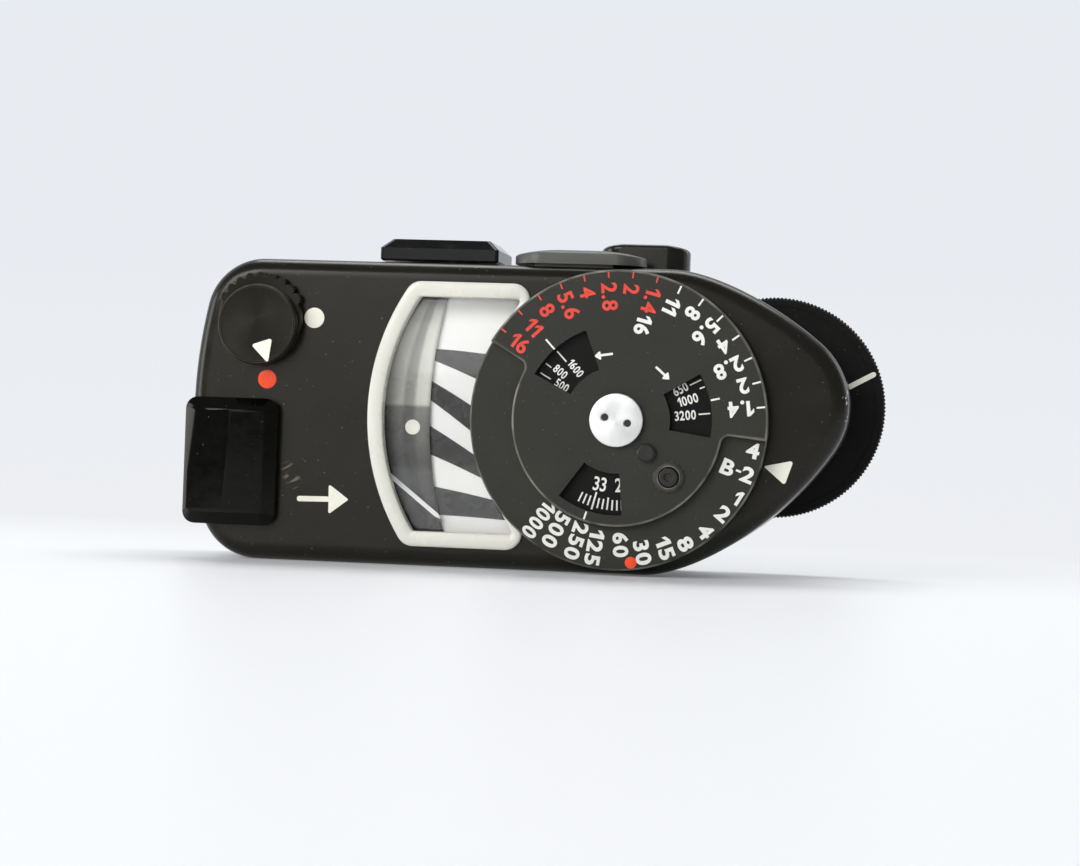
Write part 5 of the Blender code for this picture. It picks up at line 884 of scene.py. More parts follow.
marks = {"level": 17.5, "thickness": 0.035, "redDot": (-41.12, 3.38, 1.08), "whiteDot": (-35.81, 10.60, 1.17),
         "arrow": ((-37.07, -10.26), (-31.0, -10.14), 0.62, 3.5, 2.36),  # tail, tip, widths, length of the head
         "index": [(16.34, -4.53, 0.1), (18.78, -6.58, 0.24), (19.68, -3.78, 0.24)]}


def paintDot(x, y, radius):
    low, high = marks["level"], marks["level"] + marks["thickness"]
    profile = [(0, low), (radius, low), (radius, low + 0.015), (radius * 0.93, high), (radius * 0.5, high + 0.02),
               (0, high + 0.025)]
    return turned(profile, 48, (x, y))


def makeCaseMarks():
    low, high = marks["level"], marks["level"] + marks["thickness"]
    settle("red_dot", paintDot(*marks["redDot"]), "case", "red_enamel", "needle_white")
    for name, shape in (("white_dot", paintDot(*marks["whiteDot"])),
                        ("key_arrow", arrow(bmesh.new(), *marks["arrow"], low, high)),
                        ("dial_index", prism(filleted(marks["index"], 5), low, high))):
        settle(name, shape, "case", "cream_ink", "cream_plastic")


makeCaseMarks()

# Scale window

window = {"band": 1.73, "rightBand": 1.2, "low": 17.8, "high": 18.1, "sleeveLow": 16.5, "sleeve": 0.7,
          "paneLow": 16.5, "paneHigh": 17.2, "paneInset": 0.3, "paneEdge": 0.08}
track = {"leftX": -2.5, "leftRadius": 25.47, "x": 27.29, "y": 0.61, "radius": 49.7, "bend": 0.06, "low": 14.7,
         "high": 14.95, "half": 13.4, "columns": 14, "rows": 60}
needle = {"pivot": (-36.6, 0.54), "angle": -37.9, "low": 15.495, "high": 15.55, "start": 7.6, "end": 20.1,
          "shoulder": 19.7, "half": 0.25, "tip": 0.12}
stripes = {"low": 14.395, "high": 14.43, "bow": 0.05, "from": -0.25, "span": 1.7, "clip": (1.0, 1.35),
           "corners": [  # left end top and bottom, right end top and bottom
               ((-22.16, 7.59), (-22.11, 6.20), (-17.00, 7.24), (-17.65, 4.45)),
               ((-22.37, 3.84), (-22.29, 1.53), (-17.95, 1.34), (-18.08, -1.43)),
               ((-22.17, -1.46), (-22.05, -4.69), (-17.43, -4.29), (-16.70, -6.91)),
               ((-21.44, -8.36), (-21.09, -11.57), (-15.21, -9.50), (-13.72, -11.85))],
           "dot": (-24.34, -1.54), "dotRadius": 0.87, "dotLow": 14.94}


def makeBezel():
    low, high, band, right = window["low"], window["high"], window["band"], window["rightBand"]
    sleeve = 1 - window["sleeve"] / band
    section = [(0, low), (0, low + 0.05), (0.03, low + 0.13), (0.09, low + 0.2), (0.18, low + 0.255),
               (0.3, high - 0.01), (0.45, high), (0.62, high - 0.02), (0.78, high - 0.065), (0.9, high - 0.125),
               (0.97, high - 0.19), (1, high - 0.26), (1, window["sleeveLow"]), (sleeve, window["sleeveLow"]),
               (sleeve, low)]
    bezel = loft([(windowOutline(band * share, right * share), height) for share, height in section], ring=True)
    settle("bezel_ring", bezel, "case", "cream_plastic", "cream_plastic", "window_bezel", crease=50)


def makePaneSheet():
    outline = windowOutline(window["band"] + window["paneInset"], window["rightBand"] + window["paneInset"])
    sheet = softened(prism(outline, window["paneLow"], window["paneHigh"]), window["paneEdge"], 2, 50)
    settle("clear_pane", sheet, "case", "clear_plastic", "clear_plastic", "window_pane")


def makeTrackSheet():
    # a fine grid, so that the painted reflections and painted shade of its finish can follow the two curved sides
    columns, rows, half = track["columns"], track["rows"], track["half"]
    bm = bmesh.new()
    across, along = (bm.verts.layers.float.new(name) for name in ("across", "along"))
    layers = []
    for height in (track["low"], track["high"]):
        grid = []
        for row in range(rows + 1):
            y = -half + 2 * half * row / rows
            left = track["leftX"] - math.sqrt(track["leftRadius"] ** 2 - y ** 2)
            right = track["x"] - math.sqrt(track["radius"] ** 2 - (y - track["y"]) ** 2)
            line = []
            for column in range(columns + 1):
                share = column / columns
                bent = track["bend"] * max(share - 1 + 1.01 / columns, 0) * columns
                drop = bent if height == track["high"] else 0
                vert = bm.verts.new((left + (right - left) * share, y, height - drop))
                vert[across], vert[along] = share, row / rows
                line.append(vert)
            grid.append(line)
        layers.append(grid)
    for grid in layers:
        for row in range(rows):
            for column in range(columns):
                bm.faces.new((grid[row][column], grid[row][column + 1],
                              grid[row + 1][column + 1], grid[row + 1][column]))
    rim = [(row, 0) for row in range(rows)] + [(rows, column) for column in range(columns)]
    rim += [(row, columns) for row in range(rows, 0, -1)] + [(0, column) for column in range(columns, 0, -1)]
    low, high = layers
    for (row, column), (nextRow, nextColumn) in zip(rim, rim[1:] + rim[:1]):
        bm.faces.new((low[row][column], high[row][column], high[nextRow][nextColumn], low[nextRow][nextColumn]))
    settle("track_sheet", bm, "case", "track_grey", "track_grey", "needle_track")


def makeNeedle():
    start, end, shoulder, half, tip = (needle[key] for key in ("start", "end", "shoulder", "half", "tip"))
    blade = prism([(start, -half), (shoulder, -half), (end, -tip), (end, tip), (shoulder, half), (start, half)],
                  needle["low"], needle["high"])
    settle("needle_blade", placed(blade, needle["pivot"], needle["angle"]), "movement", "needle_white",
           "needle_white")


def makeStripes():
    bands = bmesh.new()
    for topLeft, lowLeft, topRight, lowRight in stripes["corners"]:
        upper, lower = [], []
        for step in range(9):
            share = stripes["from"] + step / 8 * stripes["span"]
            bow = stripes["bow"] * math.sin(min(max(share, 0), 1) * math.pi)
            for line, left, right in ((upper, topLeft, topRight), (lower, lowLeft, lowRight)):
                line.append((left[0] + (right[0] - left[0]) * share, left[1] + (right[1] - left[1]) * share + bow))
        prism(lower + upper[::-1], stripes["low"], stripes["high"], bands)
    bands = combined(bands, [prism(windowOutline(*stripes["clip"]), 14, 15)], "INTERSECT")
    settle("scale_stripes", bands, "case", "scale_black", "track_grey")
    low, radius = stripes["dotLow"], stripes["dotRadius"]
    dot = turned([(0, low), (radius, low), (radius, low + 0.04), (0, low + 0.05)], 40, stripes["dot"])
    settle("battery_check_dot", dot, "case", "cream_ink", "scale_white")


makeBezel()
makePaneSheet()
makeTrackSheet()
makeNeedle()
makeStripes()
print("scale window made")

# Dial stack

dial = {"radius": 16.85, "ringLow": 18.4, "ringTop": 19.9, "edge": 0.25, "recess": 11.5, "floor": 19.3, "bore": 2.2,
        "discLow": 20.2, "discTop": 21.0, "discRadius": 11.9, "discBore": 1.65, "discEdge": 0.16, "stepFillet": 0.9,
        "sectorStart": -6, "sectorEnd": 150, "portInner": 5.95, "portOuter": 10.65,
        "ports": [(111.0, 152.8), (-8.6, 31.0), (234.2, 275.0)], "turn": 2.1}
lock = {"place": 8.63, "rivetPlace": 4.92, "angle": -45.4, "bossRadius": 1.75, "bossTop": 21.45, "radius": 1.05,
        "top": 21.95, "rivetRadius": 1.06, "rivetTop": 21.7, "rivetBore": 0.75, "play": 0.15}
centreScrew = {"radius": 3.0, "low": 21.3, "high": 21.85, "stem": 0.8, "stemLength": 2.4, "holeRadius": 0.48,
               "holePlace": 1.32, "holeAngle": -13, "holeDepth": 0.35}


def polar(radius, degrees):
    # a place on the dial as seen in the photograph, whose frame is turned a little from the meter's
    return ringPoint(radius, math.radians(degrees + dial["turn"]))


def makeShutterRing():
    low, top, edge, radius = dial["ringLow"], dial["ringTop"], dial["edge"], dial["radius"]
    profile = [(dial["bore"], low, 0), (radius, low, edge), (radius, top, edge * 0.8), (dial["recess"], top, 0.08),
               (dial["recess"], dial["floor"], 0), (dial["bore"], dial["floor"], 0)]
    settle("speed_ring", turned(filleted(profile), 240, ring=True), "dial", "dial_anodised", "black_anodised",
           "shutter_ring", crease=40)


def sectorOutline(inset=0.0):
    # the disc's outline: a wide sector, then a step down to the smaller radius, with a hollow corner
    radius, small, fillet = dial["radius"] - inset, dial["discRadius"] - inset, dial["stepFillet"]
    start, end = math.radians(dial["sectorStart"]), math.radians(dial["sectorEnd"])
    trim = inset / dial["discRadius"]
    shift = (fillet + inset) / dial["discRadius"]
    corner = [(small + fillet * (1 - math.sin(quarter * step / 6)), shift * (1 - math.cos(quarter * step / 6)))
              for step in range(7)]
    points = arc((0, 0), radius, start + trim, end - trim, 120)
    points += [ringPoint(reach, end + along - trim) for reach, along in corner]
    points += arc((0, 0), small, end + shift, start + 4 * quarter - shift, 150)[1:-1]
    points += [ringPoint(reach, start + 4 * quarter - along + trim) for reach, along in reversed(corner)]
    return points


def makeApertureDisc():
    low, top, soft = dial["discLow"], dial["discTop"], dial["discEdge"]
    disc = loft([(sectorOutline(soft * 0.5), low), (sectorOutline(), low + soft * 0.5), (sectorOutline(), top - soft),
                 (sectorOutline(soft * 0.3), top - soft * 0.3), (sectorOutline(soft), top),
                 (sectorOutline(soft * 1.6), top)])
    place = ringPoint(lock["place"], math.radians(lock["angle"]))
    boss = [(0, low + 0.3, 0), (lock["bossRadius"] + 0.1, low + 0.3, 0), (lock["bossRadius"], lock["bossTop"], 0.5),
            (0, lock["bossTop"], 0)]
    disc = combined(disc, [turned(filleted(boss, closed=False), 64, place)], "UNION")
    holes = drum(dial["discBore"], low - 1, top + 1)
    for start, end in (map(math.radians, port) for port in dial["ports"]):
        outer = arc((0, 0), dial["portOuter"], start, end, 30)
        inner = arc((0, 0), dial["portInner"], end, start, 24)
        prism(outer + inner, low - 1, top + 1, holes)
    drum(lock["radius"] + lock["play"], low - 1, lock["bossTop"] + 1, place, bm=holes)
    drum(lock["rivetBore"], low - 1, top + 1, ringPoint(lock["rivetPlace"], math.radians(lock["angle"])), bm=holes)
    disc = combined(disc, [holes])

    def portEdge(edge):
        return all(abs(vert.co.z - top) < 0.01 and 5 < vert.co.to_2d().length < 10.8 for vert in edge.verts)

    disc = softened(disc, 0.07, 2, 50, portEdge)
    settle("aperture_plate", disc, "disc", "dial_anodised", "black_anodised", "aperture_disc", crease=40)


def makeDialSmallParts():
    angle, discLow, low = math.radians(lock["angle"]), dial["discLow"], dial["discTop"] + 0.3
    radius, top = lock["rivetRadius"], lock["rivetTop"]
    rivet = [(0, discLow + 0.3, 0), (0.45, discLow + 0.3, 0), (0.45, low, 0), (radius, low, 0.05),
             (radius, low + 0.24, 0.08), (0.82, top, 0.1), (0.6, top, 0), (0, top - 0.03, 0)]
    radius, top = lock["radius"], lock["top"]
    press = [(0, discLow + 0.6, 0), (radius, discLow + 0.6, 0), (radius, top - 0.1, 0.1), (0.92, top, 0.06),
             (0.5, top, 0.04), (0.42, top - 0.16, 0.04), (0, top - 0.16, 0)]
    for name, profile, reach, body, replaced in (
            ("rivet_head", rivet, lock["rivetPlace"], "disc", "disc_rivet"),
            ("lock_button", press, lock["place"], "lock", "film_speed_lock")):
        solid = turned(filleted(profile, closed=False), 56, ringPoint(reach, angle))
        settle(name, solid, body, "rivet_black", "black_anodised", replaced, crease=40)


def makeCentreScrew():
    low, high, rim, stem = (centreScrew[key] for key in ("low", "high", "radius", "stem"))
    foot = low - centreScrew["stemLength"]
    profile = [(0, foot, 0), (stem, foot, 0), (stem, low, 0), (rim, low, 0.04), (rim, high, 0.13), (1.2, high, 0),
               (0, high, 0)]
    places = [ringPoint(centreScrew["holePlace"], math.radians(centreScrew["holeAngle"] + side)) for side in (0, 180)]
    floor = high - centreScrew["holeDepth"]
    holes = drums(places, centreScrew["holeRadius"], floor, high + 1, 32)
    head = combined(turned(filleted(profile, closed=False), 128), [holes])
    settle("turned_screw", head, "dial", "bright_turned", "aluminium", "centre_screw", crease=40)
    # dark discs just above the floors of the two pin holes: painted shade in the holes
    shadeDiscs = drums(places, 0.4, high - 0.34, high - 0.3, 24)
    settle("key_hole_shade", shadeDiscs, "dial", "hole_shadow", "magnet_iron")


# In the tables below the angles and radii place each word; ticks are inner radius, length and width.
apertureScale = {
    "height": 1.74,
    "red": {"first": 141.6, "pitch": -9.69, "bold": 0.024, "tick": (15.95, 0.65, 0.17), "extra": [],
            "words": [("16", 14.0), ("11", 14.05), ("8", 14.65), ("5.6", 14.0), ("4", 14.7), ("2.8", 13.85),
                      ("2", 14.7), ("1.4", 13.85)]},
    "white": {"first": 64.1, "pitch": -9.86, "bold": 0.034, "tick": (15.65, 0.95, 0.2), "extra": [("16", 11.0, 74.3)],
              "words": [("11", 14.1), ("8", 14.6), ("5.6", 13.95), ("4", 14.55), ("2.8", 13.75), ("2", 14.6),
                        ("1.4", 13.9)]},
    "portTicks": [(131.3, 10.6, 1.5), (11.8, 10.75, 1.0), (251.5, 10.75, 0.9)],
    "arrows": [((7.45, 93.1), (7.6, 109.4)), ((7.4, 53.8), (7.45, 37.3))], "arrowShape": (0.27, 1.15, 0.75)}
speedScale = {
    "height": 1.72, "bold": 0.035, "dash": (337.3, 0, 14.35, 0.6, 0.24), "dot": (16.0, 275.2), "dotRadius": 0.66,
    "words": [("1000", 231.5, 14.32, 4.55), ("500", 240.5, 14.15, 4.2), ("250", 251.0, 14.3, 4.3),
              ("125", 259.7, 14.5, 4.0), ("60", 271.5, 13.95, 2.75), ("30", 280.8, 15.06, 2.75),
              ("15", 290.5, 15.25, 2.5), ("8", 299.0, 15.75, 1.5), ("4", 308.5, 15.8, 1.5),
              ("2", 318.7, 15.75, 1.45), ("1", 327.2, 16.0, 0.75), ("2", 337.4, 15.75, 1.45),
              ("4", 347.5, 15.5, 1.5), ("B", 337.1, 13.4, 1.5)]}
filmScale = {
    "leftHeight": 0.95, "rightHeight": 1.05, "lowerHeight": 1.55, "bold": 0.022, "lowerBold": 0.016, "squeeze": 0.78,
    "left": [("1600", 7.55, 128.9), ("800", 8.5, 139.6), ("500", 7.45, 147.9), ("400", 8.5, 158)],
    "right": [("500", 8.0, 36.5), ("650", 7.85, 26.6), ("1000", 8.2, 16.2), ("3200", 7.6, 4.3)],
    "lower": [("33", 7.38, 254.2, -8), ("27", 7.25, 274.4, 3)],
    # what the disc hides until it is turned
    "hidden": ("320", "250", "200", "160", "125", "100", "80"), "hiddenLeft": 167.5, "hiddenRight": 46, "pitch": 9.6,
    "hiddenLower": ("21", "15", "9"), "hiddenFirst": 291.8,
    "ticks": [(1, 131.3, 0, 8.8, 1.6, 0.16), (1, 141.6, 0, 9.6, 0.8, 0.14), (1, 148.4, 0, 8.9, 1.4, 0.14),
              (1, 25.8, 0, 9.0, 1.4, 0.15), (1, 21.0, 0, 9.85, 0.6, 0.14), (1, 4.2, 0, 9.1, 1.3, 0.15),
              (3, 243.8, 3.2, 8.95, 1.15, 0.18), (1, 253.4, 0, 8.4, 2.0, 0.2), (2, 256.6, 3.2, 8.95, 1.15, 0.18),
              (1, 263.0, 0, 8.7, 1.4, 0.18), (26, 266.2, 3.2, 8.95, 1.15, 0.18)]}


def makeApertureLettering():
    level, height = dial["discTop"] + 0.01, apertureScale["height"]
    rows = {}
    for colour in ("red", "white"):
        row, bm = apertureScale[colour], bmesh.new()
        words = [(sign, radius, row["first"] + number * row["pitch"])
                 for number, (sign, radius) in enumerate(row["words"])]
        for sign, radius, angle in words + row["extra"]:
            letters(bm, sign, height, polar(radius, angle), angle + dial["turn"] + 180, level, row["bold"])
        joined(bm, ticks(colour + "_ink", len(words), row["first"], row["pitch"], *row["tick"], level))
        rows[colour] = bm
    for angle, inner, length in apertureScale["portTicks"]:
        joined(rows["white"], ticks("white_ink", 1, angle, 0, inner, length, 0.2, level))
    for tail, tip in apertureScale["arrows"]:
        arrow(rows["white"], polar(*tail), polar(*tip), *apertureScale["arrowShape"], level - 0.015, level + 0.015)
    for colour, bm in rows.items():
        settle("aperture_numbers_" + colour, bm, "disc", colour + "_ink", "needle_white")


def makeSpeedLettering():
    level, bm = dial["ringTop"] + 0.01, bmesh.new()
    for words, angle, radius, length in speedScale["words"]:
        letters(bm, words, speedScale["height"], polar(radius, angle), angle + dial["turn"], level,
                speedScale["bold"], length=length)
    joined(bm, ticks("white_ink", 1, *speedScale["dash"], level))
    settle("speed_numbers", bm, "dial", "white_ink", "needle_white")
    radius = speedScale["dotRadius"]
    dot = turned([(0, level - 0.01), (radius, level - 0.01), (radius, level + 0.02), (0.5, level + 0.035),
                  (0, level + 0.04)], 40, polar(*speedScale["dot"]))
    settle("sync_dot", dot, "dial", "red_enamel", "needle_white")


def makeFilmLettering():
    level, turn, bm = dial["ringTop"] + 0.01, dial["turn"], bmesh.new()
    shape = (level, filmScale["bold"], filmScale["squeeze"])
    lowerShape = (level, filmScale["lowerBold"], filmScale["squeeze"])
    sides = (("left", 180), ("right", 0))
    for side, flip in sides:
        for words, radius, angle in filmScale[side]:
            letters(bm, words, filmScale[side + "Height"], polar(radius, angle), angle + turn + flip, *shape)
    for words, radius, angle, lean in filmScale["lower"]:
        letters(bm, words, filmScale["lowerHeight"], polar(radius, angle), lean, *lowerShape)
    pitch, hidden = filmScale["pitch"], filmScale["hidden"]
    firsts = {"left": filmScale["hiddenLeft"], "right": filmScale["hiddenRight"]}
    for number, words in enumerate(hidden):
        for side, flip in sides:
            angle = firsts[side] + pitch * number
            letters(bm, words, filmScale[side + "Height"], polar(7.9, angle), angle + turn + flip, *shape)
    for number, words in enumerate(filmScale["hiddenLower"]):
        angle = filmScale["hiddenFirst"] + 2 * pitch * number
        letters(bm, words, filmScale["lowerHeight"], polar(7.35, angle), angle + turn - 270, *lowerShape)
    for row in [(len(hidden), first, pitch, 9.2, 1.2, 0.15) for first in firsts.values()] + filmScale["ticks"]:
        joined(bm, ticks("white_ink", *row, level))
    settle("film_speed_numbers", bm, "dial", "white_ink", "needle_white")


makeShutterRing()
makeApertureDisc()
makeDialSmallParts()
makeCentreScrew()
makeApertureLettering()
makeSpeedLettering()
makeFilmLettering()
print("dial made")

# Coupling wheel

wheel = {"teeth": 180, "radius": 13.2, "toothDepth": 0.17, "low": -3.2, "high": -0.6, "chamfer": 0.22,
         "dishRadius": 8.4, "dishDepth": 1.1, "bore": 1.7, "pinBore": 1.1, "pinPlace": (6, 0),
         "groove": (11.85, 11.9, 12.1, 12.15), "lineAngle": 29.0, "linePlace": (26.44, 5.84),
         "lineShape": (4.2, 0.62, 0.3)}


def makeWheel():
    low, high, dishRadius = wheel["low"], wheel["high"], wheel["dishRadius"]
    values = {"Teeth": wheel["teeth"], "Radius": wheel["radius"], "Tooth Depth": wheel["toothDepth"],
              "Thickness": high - low, "Chamfer": wheel["chamfer"], "Material": finishes["knurled_black"]}
    rim = runTree(knurlTree(), values)
    rim.transform(Matrix.Translation((0, 0, (low + high) / 2)))
    holes = drum(wheel["bore"], low - 1, high + 1)
    drum(wheel["pinBore"], low - 1, high + 1, wheel["pinPlace"], bm=holes)
    floor = low + wheel["dishDepth"]
    dish = turned([(0, low - 1), (dishRadius + 0.35, low - 1), (dishRadius + 0.2, low), (dishRadius, low + 0.2),
                   (dishRadius, floor), (0, floor)], 128)
    first, second, third, fourth = wheel["groove"]
    groove = turned([(second, high - 0.12), (third, high - 0.12), (fourth, high + 0.2), (first, high + 0.2)], 160,
                    ring=True)
    rim = placed(combined(rim, [holes, dish, groove]), case["nose"])
    settle("knurled_wheel", rim, "wheel", "knurled_black", "knurled_black", "coupling_wheel", crease=24)
    line = prism(roundedBox(*wheel["lineShape"]), high - 0.02, high + 0.03)
    placed(line, wheel["linePlace"], wheel["lineAngle"])
    settle("wheel_index_line", line, "wheel", "cream_ink", "needle_white")


makeWheel()
print("coupling wheel made")

# Range knob

knob = {"radius": 4.65, "low": 17.8, "top": 20.1, "stem": 1.2, "stemLength": 5.9, "rimRadius": 4.9,
        "rimShift": 0.72, "rimLow": 17.94, "rimTop": 18.9, "rimEdge": 0.22, "lobes": 9, "lobeHeight": 0.5,
        "first": 22, "last": 158, "pointer": -71.3, "face": 0.07,
        "pointerShape": [(4.72, 0, 0.16), (2.1, 1.28, 0.22), (2.1, -1.28, 0.22)]}


def lobedOutline(scale=1.0):
    first, last, count = math.radians(knob["first"]), math.radians(knob["last"]), knob["lobes"] * 8
    points = []
    for step in range(count):
        rise = knob["lobeHeight"] * math.sin(math.pi * (step % 8 / 8)) ** 0.75
        points.append(ringPoint((knob["rimRadius"] + rise) * scale, first + (last - first) * step / count))
    points += arc((0, 0), knob["rimRadius"] * scale, last, first + 4 * quarter, 70)[:-1]
    return [(x, y + knob["rimShift"]) for x, y in points]


def makeKnob():
    low, top, radius, stem, soft = knob["low"], knob["top"], knob["radius"], knob["stem"], knob["rimEdge"]
    foot, face = low - knob["stemLength"], top - knob["face"]
    profile = [(0, foot, 0), (stem, foot, 0), (stem, low, 0), (radius, low, 0), (radius, top - 0.42, 0.08),
               (radius - 0.12, top - 0.3, 0.05), (radius - 0.14, top, 0.1), (radius - 0.42, top, 0.04),
               (radius - 0.46, top - 0.06, 0.03), (2.5, face, 0), (0, face, 0)]
    rim = loft([(lobedOutline(), knob["rimLow"]), (lobedOutline(), knob["rimTop"] - soft),
                (lobedOutline(0.987), knob["rimTop"] - soft * 0.35), (lobedOutline(0.962), knob["rimTop"])])
    whole = combined(turned(filleted(profile, closed=False), 144), [rim], "UNION")
    settle("range_selector", placed(whole, knobAxis), "knob", "knob_face", "black_anodised", "range_knob", crease=30)
    pointer = prism(filleted(knob["pointerShape"], 5), face - 0.01, face + 0.1)
    settle("range_pointer", placed(pointer, knobAxis, knob["pointer"]), "knob", "cream_ink", "cream_plastic")


makeKnob()

# Measuring key

keyTop = {"place": (-44.85, -6.2), "width": 10.9, "length": 14.6, "low": 17.8, "side": 18.7, "shoulder": 19.85,
          "ridge": 20.4, "bevel": 1.3, "leftTop": 2.1, "leftBottom": 0.9, "ridgeTop": 0.3, "ridgeBottom": -0.35,
          "corner": 1.4, "innerCorner": 0.4, "soft": 0.2, "stemLow": 13.9, "stemHalf": (1, 2.5)}


def makeKey():
    half, length, low, small = keyTop["width"] / 2, keyTop["length"] / 2, keyTop["low"], keyTop["innerCorner"]
    outer = roundedBox(keyTop["width"], keyTop["length"], keyTop["corner"])
    x, y = half - keyTop["bevel"], length - keyTop["bevel"]
    leftTop, leftBottom = half - keyTop["leftTop"], half - keyTop["leftBottom"]
    inner = filleted([(x, y, small), (-leftTop, y, small), (-leftBottom, -y, small), (x, -y, small)], 6)
    crest = []
    for px, py in inner:  # the roof runs up to a narrow, slightly slanted crest
        along = (py + y) / (2 * y)
        ridge = keyTop["ridgeBottom"] + (keyTop["ridgeTop"] - keyTop["ridgeBottom"]) * along
        crest.append((ridge + (px - ridge) * 0.012, py * 0.985))
    body = loft([(outer, low), (outer, keyTop["side"]), (inner, keyTop["shoulder"]), (crest, keyTop["ridge"])])

    def shoulderEdge(edge):
        return all(keyTop["side"] - 0.1 < vert.co.z < keyTop["ridge"] - 0.1 for vert in edge.verts)

    body = softened(body, keyTop["soft"], 4, 16, shoulderEdge)
    stemX, stemY = keyTop["stemHalf"]
    stem = block((-stemX, -stemY, keyTop["stemLow"]), (stemX, stemY, low + 0.5))
    body = placed(combined(body, [stem], "UNION"), keyTop["place"])
    settle("key_cap", body, "key", "gloss_black", "gloss_black", "measuring_key", crease=30)


makeKey()
print("knob and key made")

# Pieces on the edge that faces the subject

cell = {"x": -22.15, "z": 8.9, "length": 13.9, "height": 10.4, "base": 17.7, "step": 1.5, "proud": 2.6,
        "chamfer": 1.2, "opening": (9.2, 6), "depth": 1.1, "funnel": 1.0, "corner": 0.42, "soft": 0.14}
cover = {"x": -5.7, "z": 12.7, "length": 15.2, "height": 7.0, "base": 17.7, "thickness": 1.35, "grip": 0.9,
         "gripDepth": 0.5, "dome": 0.45, "tongue": ((-10.7, 16.3, 10.55), (-1.7, 18.4, 15.35)),
         # the crown: how much shorter, lower and less rounded each level is, and its height over the thickness
         "crown": [(0, 0, 0.2, -0.12), (0.12, 0.12, 0.26, 0.02), (0.4, 0.4, 0.4, 0.14), (2.4, 1.4, 0.9, 0.3),
                   (5, 3, 1.7, 0.38), (7, 3.5, 2, 0.4)]}
button = {"x": 1.1, "z": 5.6, "length": 10.4, "height": 5.8, "radius": 2.6, "low": 16.3, "high": 20.9, "edge": 0.5,
          "dome": 0.55, "flangeLow": 15.2, "neckLow": 15.5}


def domed(bm, drop, length, height, start, most):
    # lowers both ends of a crown, the more the higher a point lies
    for vert in bm.verts:
        if vert.co.z > start:
            vert.co.z -= drop * (2 * vert.co.x / length) ** 2 * min(vert.co.z / height, most)


def makeCellFrame():
    def framed(length, height):
        return roundedBox(length, height, cell["corner"], 4)

    length, height, proud, place = cell["length"], cell["height"], cell["proud"], (cell["x"], cell["base"], cell["z"])
    small, cut, (wide, tall) = cell["corner"], 2 * cell["chamfer"], cell["opening"]
    full, floor = framed(length, height), proud - cell["depth"]
    body = loft([(framed(length - small, height - small), 0), (full, small / 2), (full, cell["step"]),
                 (framed(length - cut, height - cut), proud)])
    body = softened(body, cell["soft"], 3, 20, lambda edge: edge.verts[0].co.z + edge.verts[1].co.z > 2)
    mouth = framed(wide + cell["funnel"], tall + cell["funnel"])
    body = combined(body, [loft([(framed(wide, tall), -0.6), (framed(wide, tall), floor), (mouth, proud + 0.6)])])
    settle("cell_window", facingSubject(body, place), "case", "cell_black", "black_anodised", "cell_frame", crease=24)
    lens, inner = framed(wide - 0.6, tall - 0.6), roundedBox(wide - 1.0, tall - 1.0, 0.3, 4)
    pane = loft([(inner, floor - 1), (lens, floor - 0.9), (lens, floor - 0.12), (inner, floor)])
    settle("cell_window_lens", facingSubject(pane, place), "case", "cell_glass", "cell_glass", "cell_lens", crease=30)


def makeCover():
    length, height, thick = cover["length"], cover["height"], cover["thickness"]
    body = loft([(roundedBox(length - shorter, height - lower, height / 2 - cut, 14), thick + rise)
                 for shorter, lower, cut, rise in [(0, 0, 0.2, -thick)] + cover["crown"]])
    domed(body, cover["dome"], length, thick, 0.1, 2)
    facingSubject(body, (cover["x"], cover["base"], cover["z"]))
    body = combined(body, [block(*cover["tongue"])], "UNION")
    grooves, grip = bmesh.new(), cover["grip"]
    floor = cover["base"] + thick + cover["crown"][-1][-1] - cover["gripDepth"]
    for number in (-1, 0, 1):
        slot = prism(roundedBox(grip, height / 2, grip * 0.45), 0, 1.5)
        joined(grooves, facingSubject(slot, (cover["x"] + number * 2 * grip, floor, cover["z"])))
    body = combined(body, [grooves])
    settle("battery_lid", body, "cover", "cover_grey", "black_anodised", "battery_cover", crease=30)


def makeButton():
    length, height, radius, edge = (button[key] for key in ("length", "height", "radius", "edge"))
    x, z, deep = button["x"], button["z"], button["high"] - button["low"]
    side = roundedBox(length, height, radius, 12)
    levels = [(side, 0), (side, deep - edge - 0.2)]
    for step in range(9):
        angle = quarter * step / 8
        cut = edge * (1 - math.cos(angle))
        levels.append((roundedBox(length - 2 * cut, height - 2 * cut, radius - cut, 12),
                       deep - edge * (1 - math.sin(angle))))
    for share in (0.75, 0.5, 0.25, 0.06):
        levels.append((roundedBox((length - 2 * edge) * share, (height - 2 * edge) * share, (radius - edge) * share,
                                  12), deep))
    body = loft(levels)
    domed(body, button["dome"], length, deep, 1, 1)
    facingSubject(body, (x, button["low"], z))
    flange = facingSubject(prism(roundedBox(length + 2, height / 2, 1.1), 0, 0.6), (x, button["flangeLow"], z))
    neck = facingSubject(prism(roundedBox(length / 2, height / 3, 0.7), 0, 1.4), (x, button["neckLow"], z))
    body = combined(body, [flange, neck], "UNION")
    settle("check_button", body, "button", "button_black", "black_anodised", "test_button", crease=30)


makeCellFrame()
makeCover()
makeButton()
print("edge pieces made")

# CAD nodes that keep their shape get the same finishes

slotFinish = {"black_enamel": "case_enamel", "black_anodised": "dial_anodised", "aluminium": "bright_turned"}
nodeFinish = {"film_speed_plate": "film_black"}
kept = [name for name, node in nodes.items() if not node.hide_render]
for name in kept:
    for slot in nodes[name].material_slots:
        base = slot.material.name.split(".")[0] if slot.material else "steel"
        slot.material = finishes.get(nodeFinish.get(name, slotFinish.get(base, base)), finishes["steel"])
print("CAD nodes kept with new finishes:", len(kept))

# Stage: a pale sweep under and behind the meter, in metres

